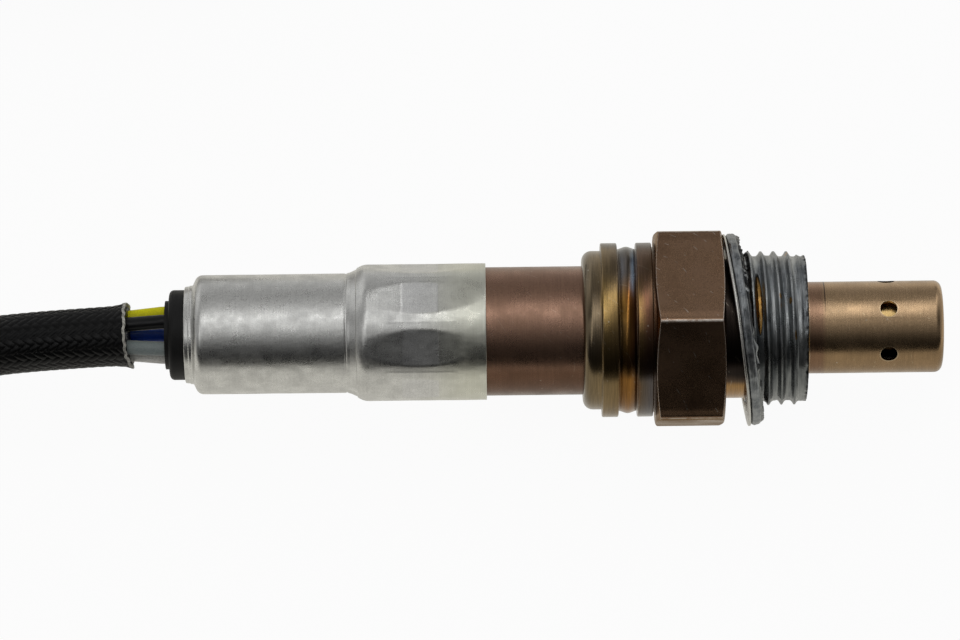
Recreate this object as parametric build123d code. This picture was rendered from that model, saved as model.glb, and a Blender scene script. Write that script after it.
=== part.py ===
from build123d import *
from math import atan2, cos, degrees, pi, radians, sin, sqrt, tan
import os

# Oxygen sensor with a planar element, lying on a flat of its hexagon.
# +X runs along its axis to the probe tip, +Z is up, and X = 0 is the face that the gasket seats on.

# Shell: one turned steel body, from the crimped lip to the thread's nose
HEX_WIDTH = 22.0            # across flats
HEX_LENGTH = 8.0
HEX_CHAMFER = 0.7           # depth of the corner chamfer along the axis
THREAD_DIAMETER = 17.8      # crest of the M18 x 1.5 thread
THREAD_NOSE = 9.7           # seat to the nose face
NOSE_CHAMFER = 1.4
RELIEF_DIAMETER = 16.2      # undercut between seat and thread
RELIEF_LENGTH = 2.2
COLLAR_DIAMETER = 20.3      # the two collar rings behind the hexagon
COLLAR_NOTCH_WIDTH = 0.3
COLLAR_NOTCH_DIAMETER = 19.2
FRONT_COLLAR_WIDTH = 1.8
REAR_COLLAR_WIDTH = 1.9
BUCKLE_WIDTH = 2.2          # the thin wall that buckled when the shell was upset
BUCKLE_FOOT_DIAMETER = 18.8
BUCKLE_CREST_DIAMETER = 19.35
LIP_DIAMETER = 18.5
LIP_LENGTH = 2.2
LIP_ROUND = 1.3
LIP_THICKNESS = 1.1         # of the turned-in rim, along the axis

# Bores of the shell
SHELL_BORE = 14.0
CRIMP_BORE = 16.1           # counterbore that takes the packing ring and the cover's flange
CRIMP_DEPTH = 1.4           # from the inside of the lip to the counterbore's floor
LEDGE_X = -2.6              # shoulder that carries the element cup
ELEMENT_BORE = 9.2
PROTECTOR_SEAT_X = 6.0

# Protector tubes over the element's tip
PROTECTOR_DIAMETER = 10.7
PROTECTOR_ROOT_DIAMETER = 10.3  # the end that is pressed into the shell's nose
PROTECTOR_STANDOFF = 0.15   # from the nose to the shoulder where the root ends
PROTECTOR_END_X = 25.5
PROTECTOR_WALL = 0.4
PROTECTOR_ROUND = 0.9
PROTECTOR_HOLE = 2.0
PROTECTOR_HOLES = 6
PROTECTOR_HOLE_X = 19.1
PROTECTOR_HOLE_ANGLE = 161.0    # first hole, from +Y towards +Z
LINER_DIAMETER = 8.2
LINER_WALL = 0.35
LINER_TIP_GAP = 1.1         # between the two tubes' end walls
LINER_HOLE = 1.4
LINER_HOLE_X = 13.0
END_VENT = 1.6

# Element and what packs it in the shell
ELEMENT_WIDTH = 4.2
ELEMENT_THICKNESS = 1.3
ELEMENT_TIP_X = 20.6
ELEMENT_END_X = -44.4
CUP_WALL = 0.35
CUP_LENGTH = 5.6
HOLDER_LENGTH = 2.7
PACKING_RING_BORE = 11.4

# Inner cover: the tube clamped under the shell's lip
INNER_COVER_DIAMETER = 15.0
INNER_COVER_WALL = 0.5
INNER_COVER_BACK_X = -41.1
FLANGE_THICKNESS = 0.5

# Outer cover: the stepped rear can, crimped over the inner cover
COVER_WALL = 0.45
COVER_FRONT_X = -27.6
COVER_STEP_X = -41.6        # where the wide part starts to draw in
COVER_STEP_LENGTH = 1.7
COVER_REAR_DIAMETER = 13.9
COVER_REAR_X = -61.6
COVER_ROUND_SHARE = 0.68    # of the shoulder between the can and its neck, outside
INNER_ROUND_SHARE = 0.32    # the same, inside
NECK_DIAMETER = 11.4
NECK_LENGTH = 1.1
CRIMP_PADS = 8
CRIMP_PAD_SIZE = 4.25
CRIMP_PAD_X = -35.25
CRIMP_PAD_DEPTH = 0.29
CRIMP_PAD_ANGLE = 93.0      # first pad, from +Y towards +Z
CRIMP_DENT_LENGTH = 12.5

# Wire exit
GROMMET_DIAMETER = 10.5
GROMMET_FLANGE = 1.8
GROMMET_BOSS_DIAMETER = 8.0
GROMMET_BOSS = 0.5
GROMMET_LENGTH = 5.0        # behind the cover's rear wall, inside the can
GUIDE_LENGTH = 4.0
CONTACT_HOLDER_LENGTH = 8.6
CONTACT_CHAMBER_DIAMETER = 8.0
CONTACT_CHAMBER_LENGTH = 5.1
BARREL_LENGTH = 3.2
BARREL_WALL = 0.25
BLADE_WIDTH = 0.9
BLADE_THICKNESS = 0.3
BLADE_TIP_X = -39.4
CLIP_X = -41.6
CLIP_LENGTH = 2.6
CLIP_WALL = 0.5

WIRE_DIAMETER = 1.65
WIRE_CIRCLE = 2.65          # radius of the circle that the five wires leave on
WIRE_BUNDLE = 2.2           # the same inside the braided sleeve
PAD_PITCH = 1.35            # between the element's contact pads
# Each wire's angle on the circle, from +Y towards +Z
WIRE_ANGLES = {"black": 88.5, "yellow": 16.5, "grey": 160.5, "white": 232.5, "blue": 304.5}

# Braided lead: plain tube, coil and tail, lying on the same surface as the hexagon's flat
LEAD_DIAMETER = 7.0
LEAD_BORE = 6.3             # where the wires enter the sleeve
LEAD_BORE_DEPTH = 7.5
LEAD_EXIT_GAP = 4.0         # bare wires between the grommet and the sleeve
FLOOR_Z = -HEX_WIDTH / 2
LEAD_FLOOR_Z = FLOOR_Z + LEAD_DIAMETER / 2
LEAD_ROUTE = [
    (COVER_REAR_X - NECK_LENGTH - GROMMET_FLANGE - GROMMET_BOSS - LEAD_EXIT_GAP, 0.0, 0.0),
    (-79.0, 0.0, -0.7),
    (-90.0, 0.0, -2.75),
    (-100.0, 0.0, -5.35),
    (-110.5, 0.0, LEAD_FLOOR_Z),
    (-119.0, 0.0, LEAD_FLOOR_Z),
]
COIL_OUTER_TURN = 36.0      # radius of the outer turn's centreline
COIL_JOIN = 23.2            # from the lead's last point to the coil's tangent point
COIL_LOOSENESS = 0.2        # how far the turns stand off each other and the surface
TAIL_END = (-103.0, 69.1, -4.0)
TIE_WIDTH = 4.6
TIE_THICKNESS = 0.8

# Connector at the end of the lead
PLUG_Y = 69.1
PLUG_REAR_X = -92.0
PLUG_WIDTH = 19.0
PLUG_HEIGHT = 14.0
PLUG_ROUND = 2.0
SHROUD_LENGTH = 15.0
CORE_WIDTH = 15.0
CORE_HEIGHT = 9.0
CORE_LENGTH = 16.0
REAR_CAP_LENGTH = 3.0
MAT_SEAL_LENGTH = 4.0
FRONT_LOCK_LENGTH = 1.6
FRONT_SEAL_LENGTH = 3.0
FRONT_SEAL_PROUD = 0.8
TERMINAL_PITCH = 4.2
TERMINAL_DIAMETER = 2.4
TERMINAL_WALL = 0.3
LATCH_WIDTH = 7.0
LATCH_THICKNESS = 1.5
LATCH_REACH = 11.0

# Loose folded gasket, hanging askew on the thread's undercut
GASKET_OVERHANG = 0.6       # how much wider it is than the hexagon across its flats
GASKET_BORE = 18.9
GASKET_TILT = 7.2
GASKET_SHEET = 0.4
GASKET_BEAD = 1.0
GASKET_FOLD_GAP = 0.22
GASKET_FOLD_WIDTH = 0.6
GASKET_LEAN = 34.5          # where it touches the hexagon, from +Y towards +Z
GASKET_SWAY = -0.45         # how far it hangs off the axis along Y

# Rows of contacts on the element and in the connector: steps across and up from the middle
contact_places = {
    "black": (0, 0.5),
    "yellow": (1, 0.5),
    "grey": (-1, 0.5),
    "white": (-0.5, -0.5),
    "blue": (0.5, -0.5),
}

# Clearances
SLIP = 0.02                 # radial, between parts that slide together on assembly
FACE = 0.1                  # axial, between stacked inner parts

hex_rear_x = -HEX_LENGTH
front_collar_x = hex_rear_x - COLLAR_NOTCH_WIDTH
buckle_front_x = front_collar_x - FRONT_COLLAR_WIDTH
buckle_rear_x = buckle_front_x - BUCKLE_WIDTH
rear_collar_x = buckle_rear_x - REAR_COLLAR_WIDTH
lip_x = rear_collar_x - LIP_LENGTH
crimp_face_x = lip_x + LIP_THICKNESS
crimp_floor_x = crimp_face_x + CRIMP_DEPTH
cover_inner_radius = COVER_REAR_DIAMETER / 2 - COVER_WALL
cover_shoulder = (COVER_REAR_DIAMETER - NECK_DIAMETER) / 2
cover_round = COVER_ROUND_SHARE * cover_shoulder
grommet_front_x = COVER_REAR_X + COVER_WALL + GROMMET_LENGTH
guide_front_x = grommet_front_x + FACE + GUIDE_LENGTH
holder_rear_x = guide_front_x + FACE
holder_front_x = holder_rear_x + CONTACT_HOLDER_LENGTH
barrel_radius = WIRE_DIAMETER / 2 + SLIP + BARREL_WALL
barrel_rear_x = holder_rear_x + FACE
barrel_front_x = barrel_rear_x + BARREL_LENGTH
neck_rear_x = COVER_REAR_X - NECK_LENGTH
grommet_rear_x = neck_rear_x - GROMMET_FLANGE
coil_x = LEAD_ROUTE[-1][0] - COIL_JOIN
coil_y = LEAD_ROUTE[-1][1] + COIL_OUTER_TURN
coil_inner_turn = COIL_OUTER_TURN - LEAD_DIAMETER
coil_top_turn = COIL_OUTER_TURN - LEAD_DIAMETER / 2
coil_floor_z = LEAD_FLOOR_Z + COIL_LOOSENESS
coil_top_z = coil_floor_z + LEAD_DIAMETER * sqrt(3) / 2
plug_z = FLOOR_Z + PLUG_HEIGHT / 2
gasket_diameter = HEX_WIDTH + GASKET_OVERHANG


def turned(outline, rounds=()):
    # A solid of revolution about X from (x, radius) points; rounds holds (x, radius, fillet)
    face = Sketch() + make_face(Polyline(*outline, close=True))
    for x, r, size in rounds:
        corner = face.vertices().sort_by_distance((x, r, 0))[0]
        face = fillet(corner, size)
    return revolve(face, Axis.X)


def rod(x0, x1, radius, y=0.0, z=0.0):
    # A round bar along X
    return extrude(Plane((x0, y, z), z_dir=(1, 0, 0)) * Circle(radius), x1 - x0)


def bar(x0, x1, width, height, y=0.0, z=0.0, corner=0.0):
    # A bar along X with a flat or rounded-rectangle section
    plane = Plane((x0, y, z), x_dir=(0, 1, 0), z_dir=(1, 0, 0))
    shape = RectangleRounded(width, height, corner) if corner else Rectangle(width, height)
    return extrude(plane * shape, x1 - x0)


def on_circle(radius, angle):
    # (Y, Z) at an angle from +Y towards +Z
    return radius * cos(radians(angle)), radius * sin(radians(angle))


def element_slot(x0, x1):
    return bar(x0, x1, ELEMENT_WIDTH + 2 * SLIP, ELEMENT_THICKNESS + 2 * SLIP)


def bend_radii(points):
    # The largest neat arc at each corner: 0.45 of its shorter run
    radii = []
    for before, here, after in zip(points, points[1:], points[2:]):
        run_in = Vector(*here) - Vector(*before)
        run_out = Vector(*after) - Vector(*here)
        turn = radians(run_in.get_angle(run_out))
        radii.append(0.45 * min(run_in.length, run_out.length) / tan(turn / 2))
    return radii


def round_sweep(points, radius, radii):
    path = FilletPolyline(*points, radius=radii)
    start = Plane(path @ 0, z_dir=path % 0)
    return sweep(start * Circle(radius), path=path)


def hex_body():
    collar = COLLAR_DIAMETER / 2
    foot = BUCKLE_FOOT_DIAMETER / 2
    notch = COLLAR_NOTCH_DIAMETER / 2
    lip = LIP_DIAMETER / 2
    relief = RELIEF_DIAMETER / 2
    thread = THREAD_DIAMETER / 2
    body = turned(
        [
            (lip_x, 0), (lip_x, lip), (rear_collar_x, lip),
            (rear_collar_x, collar), (buckle_rear_x, collar), (buckle_rear_x, foot),
            (buckle_front_x, foot), (buckle_front_x, collar), (front_collar_x, collar),
            (front_collar_x, notch), (0, notch),
            (0, relief), (RELIEF_LENGTH, relief), (RELIEF_LENGTH + thread - relief, thread),
            (THREAD_NOSE - NOSE_CHAMFER, thread), (THREAD_NOSE, thread - NOSE_CHAMFER),
            (THREAD_NOSE, 0),
        ],
        rounds=[(lip_x, lip, LIP_ROUND)],
    )
    crest = ((buckle_rear_x + buckle_front_x) / 2, BUCKLE_CREST_DIAMETER / 2)
    dome = ThreePointArc((buckle_rear_x, foot), crest, (buckle_front_x, foot))
    base = Polyline(
        (buckle_front_x, foot), (buckle_front_x, foot - 1),
        (buckle_rear_x, foot - 1), (buckle_rear_x, foot),
    )
    buckle = revolve(make_face([dome, *base.edges()]), Axis.X)

    half = HEX_WIDTH / 2
    corner = half / cos(pi / 6)
    face_circle = half - FACE
    hexagon = extrude(
        Plane.YZ.offset(hex_rear_x) * RegularPolygon(half, 6, major_radius=False), HEX_LENGTH
    )
    bevel = turned([
        (hex_rear_x, 0), (hex_rear_x, face_circle), (hex_rear_x + HEX_CHAMFER, corner),
        (-HEX_CHAMFER, corner), (0, face_circle), (0, 0),
    ])

    seat = PROTECTOR_ROOT_DIAMETER / 2 + SLIP
    bores = turned([
        (lip_x - 1, 0), (lip_x - 1, INNER_COVER_DIAMETER / 2 + SLIP),
        (crimp_face_x, INNER_COVER_DIAMETER / 2 + SLIP), (crimp_face_x, CRIMP_BORE / 2),
        (crimp_floor_x, CRIMP_BORE / 2), (crimp_floor_x, SHELL_BORE / 2),
        (LEDGE_X, SHELL_BORE / 2), (LEDGE_X, ELEMENT_BORE / 2),
        (PROTECTOR_SEAT_X, ELEMENT_BORE / 2), (PROTECTOR_SEAT_X, seat),
        (THREAD_NOSE + 1, seat), (THREAD_NOSE + 1, 0),
    ])
    return body + buckle + (hexagon & bevel) - bores


def gasket():
    bore = GASKET_BORE / 2
    rim = gasket_diameter / 2
    bead_rear = GASKET_SHEET + GASKET_FOLD_GAP
    bead_front = bead_rear + GASKET_BEAD
    fold = bore + GASKET_FOLD_WIDTH
    # Each rounded edge follows the ring's width and stays inside the walls that meet there
    edge_limit = 0.45 * GASKET_BEAD
    edge_round = min(0.19 * (rim - bore), edge_limit)
    fold_round = min(edge_round, 0.45 * (rim - SLIP - fold))
    ring = turned(
        [
            (0, bore), (0, rim), (GASKET_SHEET, rim), (GASKET_SHEET, fold),
            (bead_rear, fold), (bead_rear, rim - SLIP), (bead_front, rim - SLIP),
            (bead_front, bore),
        ],
        rounds=[
            (bead_rear, rim - SLIP, fold_round),
            (bead_front, rim - SLIP, min(0.24 * (rim - bore), edge_limit)),
            (bead_front, bore, edge_round),
        ],
    )
    tilt = radians(GASKET_TILT)
    lean_y, lean_z = on_circle(1, GASKET_LEAN)
    reach_down = rim * sqrt(1 - (sin(tilt) * lean_z) ** 2)
    turned_ring = ring.rotate(Axis((0, 0, 0), (0, -lean_z, lean_y)), GASKET_TILT)
    return Pos(rim * sin(tilt) + SLIP, GASKET_SWAY, FLOOR_Z + reach_down + SLIP) * turned_ring


def outer_protector():
    outside = PROTECTOR_DIAMETER / 2
    inside = outside - PROTECTOR_WALL
    root = PROTECTOR_ROOT_DIAMETER / 2
    rear_x = PROTECTOR_SEAT_X + LINER_WALL
    shoulder_x = THREAD_NOSE + PROTECTOR_STANDOFF
    vent = END_VENT / 2
    tube = turned(
        [
            (rear_x, root - PROTECTOR_WALL), (rear_x, root), (shoulder_x, root),
            (shoulder_x, outside), (PROTECTOR_END_X, outside),
            (PROTECTOR_END_X, vent), (PROTECTOR_END_X - PROTECTOR_WALL, vent),
            (PROTECTOR_END_X - PROTECTOR_WALL, inside),
            (shoulder_x + PROTECTOR_WALL, inside),
            (shoulder_x + PROTECTOR_WALL, root - PROTECTOR_WALL),
        ],
        rounds=[
            (PROTECTOR_END_X, outside, PROTECTOR_ROUND),
            (PROTECTOR_END_X - PROTECTOR_WALL, inside, PROTECTOR_ROUND - PROTECTOR_WALL),
        ],
    )
    return tube - side_holes(PROTECTOR_HOLE, PROTECTOR_HOLE_X, outside, PROTECTOR_HOLE_ANGLE)


def inner_protector():
    outside = LINER_DIAMETER / 2
    inside = outside - LINER_WALL
    flange = PROTECTOR_ROOT_DIAMETER / 2
    flange_x = PROTECTOR_SEAT_X + LINER_WALL
    tip_x = PROTECTOR_END_X - PROTECTOR_WALL - LINER_TIP_GAP
    vent = END_VENT / 2
    tube = turned(
        [
            (PROTECTOR_SEAT_X, inside), (PROTECTOR_SEAT_X, flange), (flange_x, flange),
            (flange_x, outside), (tip_x, outside), (tip_x, vent),
            (tip_x - LINER_WALL, vent), (tip_x - LINER_WALL, inside),
        ],
        rounds=[
            (tip_x, outside, PROTECTOR_ROUND),
            (tip_x - LINER_WALL, inside, PROTECTOR_ROUND - LINER_WALL),
        ],
    )
    return tube - side_holes(LINER_HOLE, LINER_HOLE_X, outside, PROTECTOR_HOLE_ANGLE + 30)


def side_holes(diameter, x, reach, first_angle):
    # Radial gas holes round a protector tube
    drill = extrude(Plane((x, 0, 0), z_dir=(0, 1, 0)) * Circle(diameter / 2), reach + 1)
    return [drill.rotate(Axis.X, first_angle + 360 / PROTECTOR_HOLES * i) for i in range(PROTECTOR_HOLES)]


def sensing_element():
    blank = bar(ELEMENT_END_X, ELEMENT_TIP_X, ELEMENT_WIDTH, ELEMENT_THICKNESS)
    tip_corners = blank.faces().sort_by(Axis.X)[-1].edges().filter_by(Axis.Z)
    return chamfer(tip_corners, ELEMENT_THICKNESS / 2)


cup_rear_x = LEDGE_X - CUP_LENGTH
cup_radius = SHELL_BORE / 2 - SLIP
holder_radius = cup_radius - CUP_WALL - SLIP
talc_front_x = LEDGE_X - CUP_WALL - HOLDER_LENGTH


def element_cup():
    inside = cup_radius - CUP_WALL
    opening = ELEMENT_WIDTH / 2 + 1
    return turned([
        (LEDGE_X, opening), (LEDGE_X, cup_radius), (cup_rear_x, cup_radius),
        (cup_rear_x, inside), (LEDGE_X - CUP_WALL, inside), (LEDGE_X - CUP_WALL, opening),
    ])


def ceramic_holder():
    return rod(talc_front_x, LEDGE_X - CUP_WALL, holder_radius) - element_slot(talc_front_x, 0)


def talc_packing():
    return rod(cup_rear_x, talc_front_x, holder_radius) - element_slot(cup_rear_x, 0)


def ceramic_sleeve():
    return rod(crimp_floor_x, cup_rear_x, cup_radius) - element_slot(crimp_floor_x, 0)


def packing_ring():
    rear_x = crimp_face_x + FLANGE_THICKNESS
    ring = rod(rear_x, crimp_floor_x, CRIMP_BORE / 2 - SLIP)
    return ring - rod(rear_x, crimp_floor_x, PACKING_RING_BORE / 2)


def inner_cover():
    outside = INNER_COVER_DIAMETER / 2
    inside = outside - INNER_COVER_WALL
    flange_x = crimp_face_x + FLANGE_THICKNESS
    flange = CRIMP_BORE / 2 - SLIP
    return turned([
        (INNER_COVER_BACK_X, inside), (INNER_COVER_BACK_X, outside), (crimp_face_x, outside),
        (crimp_face_x, flange), (flange_x, flange), (flange_x, inside),
    ])


def outer_cover():
    inside = INNER_COVER_DIAMETER / 2 + SLIP
    wide = inside + COVER_WALL
    narrow = COVER_REAR_DIAMETER / 2
    neck = NECK_DIAMETER / 2
    step_end_x = COVER_STEP_X - COVER_STEP_LENGTH
    shift = COVER_WALL * tan(atan2(wide - narrow, COVER_STEP_LENGTH) / 2)
    inner_wall_x = COVER_REAR_X + COVER_WALL
    step_round = 0.45 * COVER_STEP_LENGTH
    can = turned(
        [
            (COVER_FRONT_X, inside), (COVER_FRONT_X, wide), (COVER_STEP_X, wide),
            (step_end_x, narrow), (COVER_REAR_X, narrow), (COVER_REAR_X, neck),
            (neck_rear_x, neck), (neck_rear_x, neck - COVER_WALL),
            (inner_wall_x, neck - COVER_WALL), (inner_wall_x, cover_inner_radius),
            (step_end_x + shift, cover_inner_radius), (COVER_STEP_X + shift, inside),
        ],
        rounds=[
            (COVER_STEP_X, wide, 2 * step_round), (step_end_x, narrow, step_round),
            (COVER_REAR_X, narrow, cover_round),
            (inner_wall_x, cover_inner_radius, INNER_ROUND_SHARE * cover_shoulder),
        ],
    )
    # Each crimp pad is a flat square in the middle of a long shallow dent
    flat = wide - CRIMP_PAD_DEPTH
    dent_radius = (CRIMP_DENT_LENGTH / 2) ** 2 / (2 * CRIMP_PAD_DEPTH)
    dent = Pos(CRIMP_PAD_X, flat + dent_radius, 0) * Cylinder(dent_radius, CRIMP_PAD_SIZE * 2)
    pad = Pos(CRIMP_PAD_X, flat + wide, 0) * Box(CRIMP_PAD_SIZE, 2 * wide, CRIMP_PAD_SIZE * 2)
    jaw = dent + pad
    return can - [
        jaw.rotate(Axis.X, CRIMP_PAD_ANGLE + 360 / CRIMP_PADS * i) for i in range(CRIMP_PADS)
    ]


def wire_holes(x0, x1, radius):
    return [rod(x0, x1, radius, *on_circle(WIRE_CIRCLE, angle)) for angle in WIRE_ANGLES.values()]


def grommet():
    neck_inside = NECK_DIAMETER / 2 - COVER_WALL - SLIP
    inner_wall_x = COVER_REAR_X + COVER_WALL
    body = cover_inner_radius - SLIP
    boss = GROMMET_BOSS_DIAMETER / 2
    flange = GROMMET_DIAMETER / 2
    plug = turned(
        [
            (grommet_rear_x - GROMMET_BOSS, 0), (grommet_rear_x - GROMMET_BOSS, boss),
            (grommet_rear_x, boss), (grommet_rear_x, flange), (neck_rear_x, flange),
            (neck_rear_x, neck_inside), (inner_wall_x, neck_inside),
            (inner_wall_x, body - cover_round), (inner_wall_x + cover_round, body),
            (grommet_front_x, body), (grommet_front_x, 0),
        ],
        rounds=[(grommet_rear_x, flange, 0.3 * GROMMET_FLANGE)],
    )
    return plug - wire_holes(grommet_rear_x - 1, grommet_front_x + 1, WIRE_DIAMETER / 2 + SLIP)


def wire_guide():
    x0 = grommet_front_x + FACE
    disc = rod(x0, guide_front_x, cover_inner_radius - SLIP)
    return disc - wire_holes(x0, guide_front_x, WIRE_DIAMETER / 2 + SLIP)


def contact_holder():
    block = rod(holder_rear_x, holder_front_x, cover_inner_radius - SLIP)
    chamber = rod(holder_front_x - CONTACT_CHAMBER_LENGTH, holder_front_x, CONTACT_CHAMBER_DIAMETER / 2)
    return block - chamber - wire_holes(holder_rear_x, holder_front_x, barrel_radius + SLIP)


def contact(colour):
    # A crimp barrel, closed at its front, with a spring blade that lies on the element
    y, z = on_circle(WIRE_CIRCLE, WIRE_ANGLES[colour])
    across_step, up_step = contact_places[colour]
    pad_y = across_step * PAD_PITCH
    side = 1 if up_step > 0 else -1
    web = BLADE_THICKNESS
    barrel = rod(barrel_rear_x, barrel_front_x, barrel_radius, y, z)
    barrel -= rod(barrel_rear_x, barrel_front_x - web, barrel_radius - BARREL_WALL, y, z)
    blade_z = side * (ELEMENT_THICKNESS + BLADE_THICKNESS) / 2
    tip = (BLADE_TIP_X, pad_y, blade_z)
    path = FilletPolyline(
        tip, (ELEMENT_END_X - 2 * web, pad_y, blade_z), (barrel_front_x - web / 2, y, z),
        radius=3 * web,
    )
    section = Plane(tip, x_dir=(0, 1, 0), z_dir=(-1, 0, 0)) * Rectangle(BLADE_WIDTH, BLADE_THICKNESS)
    return barrel + sweep(section, path=path)


def contact_clip():
    inner_width = ELEMENT_WIDTH + 2 * SLIP
    inner_height = ELEMENT_THICKNESS + 2 * BLADE_THICKNESS + 2 * SLIP
    x0 = CLIP_X - CLIP_LENGTH / 2
    x1 = CLIP_X + CLIP_LENGTH / 2
    outer = bar(x0, x1, inner_width + 2 * CLIP_WALL, inner_height + 2 * CLIP_WALL, corner=CLIP_WALL)
    return outer - bar(x0, x1, inner_width, inner_height)


lead_start = Vector(*LEAD_ROUTE[0])
lead_heading = (Vector(*LEAD_ROUTE[1]) - lead_start).normalized()
tail_start = Vector(coil_x, coil_y + coil_top_turn, coil_top_z)
tail_end = Vector(*TAIL_END)
tail_heading = (tail_end - tail_start).normalized()
tail_stub = 1.25 * COIL_JOIN


def across(heading, radius, angle):
    # A point of the wire bundle, seen square to the way that the lead runs
    up = (Vector(0, 0, 1) - heading * heading.Z).normalized()
    sideways = Vector(0, 1, 0) - heading * heading.Y
    sideways = (sideways - up * sideways.dot(up)).normalized()
    y, z = on_circle(radius, angle)
    return sideways * y + up * z


def sensor_wire(angle):
    y, z = on_circle(WIRE_CIRCLE, angle)
    offset = across(lead_heading, WIRE_BUNDLE, angle)
    inside = lead_start + lead_heading * (LEAD_BORE_DEPTH - FACE) + offset
    mouth = lead_start + lead_heading * WIRE_DIAMETER / 2 + offset
    leaving = Vector(grommet_rear_x - GROMMET_BOSS - FACE * 5, y, z)
    crimped = Vector(barrel_front_x - BLADE_THICKNESS - FACE, y, z)
    return round_sweep([crimped, leaving, mouth, inside], WIRE_DIAMETER / 2, 2 * WIRE_DIAMETER)


def lead_sleeve():
    radii = bend_radii(LEAD_ROUTE)
    print("lead bend radii, mm:", [round(r, 1) for r in radii])
    tube = round_sweep(LEAD_ROUTE, LEAD_DIAMETER / 2, radii)
    bore = Plane(lead_start, z_dir=lead_heading) * Circle(LEAD_BORE / 2)
    return tube - extrude(bore, LEAD_BORE_DEPTH)


coil_axis = Axis((coil_x, coil_y, 0), (0, 0, 1))
coil_plane = Plane((coil_x, coil_y, 0), x_dir=(1, 0, 0), z_dir=(0, -1, 0))


def bundle_outline(extra=0.0):
    # The section of the coil's three turns, seen in a plane through its axis
    turns = Polyline(
        (COIL_OUTER_TURN, coil_floor_z), (coil_top_turn, coil_top_z), (coil_inner_turn, coil_floor_z),
        close=True,
    )
    return offset(make_face(turns), LEAD_DIAMETER / 2 + COIL_LOOSENESS + extra, kind=Kind.ARC)


def above(height):
    side = 4 * LEAD_DIAMETER
    return Pos(coil_top_turn, height + side / 2) * Rectangle(side, side)


tie_arc = degrees(TIE_WIDTH / coil_top_turn)


def around_coil(section, arc=360.0):
    solid = revolve(coil_plane * section, coil_axis, revolution_arc=arc)
    return solid.rotate(coil_axis, 180 - arc / 2) if arc < 360 else solid


def lead_coil():
    ring = around_coil(bundle_outline())
    notch = around_coil(bundle_outline(1.0) - above(FLOOR_Z + TIE_THICKNESS), tie_arc)
    stub_plane = Plane(Vector(*LEAD_ROUTE[-1]), z_dir=(-1, 0, 0))
    stub_in = extrude(stub_plane * Circle(LEAD_DIAMETER / 2), COIL_JOIN - LEAD_DIAMETER / 2)
    stub_out = extrude(Plane(tail_start, z_dir=tail_heading) * Circle(LEAD_DIAMETER / 2), tail_stub)
    return ring - notch + stub_in + stub_out


def coil_tie():
    inner = bundle_outline() & above(FLOOR_Z + TIE_THICKNESS)
    outer = bundle_outline(TIE_THICKNESS) & above(FLOOR_Z)
    band = around_coil(outer - inner, tie_arc)
    head_radius = coil_inner_turn - LEAD_DIAMETER / 2
    head = Box(4 * TIE_THICKNESS, TIE_WIDTH + 1.5, TIE_WIDTH)
    head_x = coil_x - head_radius + COIL_LOOSENESS + 2.5 * TIE_THICKNESS
    return band + Pos(head_x, coil_y, LEAD_FLOOR_Z) * head


def lead_tail():
    start = tail_start + tail_heading * tail_stub
    length = (tail_end - start).length
    tube = extrude(Plane(start, z_dir=tail_heading) * Circle(LEAD_DIAMETER / 2), length)
    mouth = Plane(tail_end, z_dir=-tail_heading) * Circle(LEAD_BORE / 2)
    return tube - extrude(mouth, LEAD_BORE_DEPTH)


cap_front_x = PLUG_REAR_X + REAR_CAP_LENGTH
spigot_front_x = cap_front_x + 1.2
pocket_floor_x = spigot_front_x + MAT_SEAL_LENGTH
shroud_front_x = cap_front_x + SHROUD_LENGTH
core_front_x = shroud_front_x + CORE_LENGTH
terminal_rear_x = pocket_floor_x + 5 * FACE


def plug_place(colour):
    across_step, up_step = contact_places[colour]
    return PLUG_Y + across_step * TERMINAL_PITCH, plug_z + up_step * TERMINAL_PITCH


def plug_holes(x0, x1, radius):
    return [rod(x0, x1, radius, *plug_place(colour)) for colour in contact_places]


def plug_wire(colour):
    y, z = plug_place(colour)
    offset = across(tail_heading, WIRE_BUNDLE, WIRE_ANGLES[colour])
    inside = tail_end - tail_heading * (LEAD_BORE_DEPTH - FACE) + offset
    mouth = tail_end + tail_heading * WIRE_DIAMETER / 2 + offset
    entering = Vector(PLUG_REAR_X - WIRE_DIAMETER / 2, y, z)
    crimped = Vector(terminal_rear_x + 2 * TERMINAL_DIAMETER - FACE, y, z)
    return round_sweep([inside, mouth, entering, crimped], WIRE_DIAMETER / 2, 1.5 * WIRE_DIAMETER)


def terminal(colour):
    place = plug_place(colour)
    front_x = core_front_x - FACE
    pin = rod(terminal_rear_x, front_x, TERMINAL_DIAMETER / 2, *place)
    pin -= rod(terminal_rear_x, terminal_rear_x + 2 * TERMINAL_DIAMETER, WIRE_DIAMETER / 2 + SLIP, *place)
    return pin - rod(front_x - CORE_LENGTH / 2, front_x, TERMINAL_DIAMETER / 2 - 2 * TERMINAL_WALL, *place)


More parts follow.
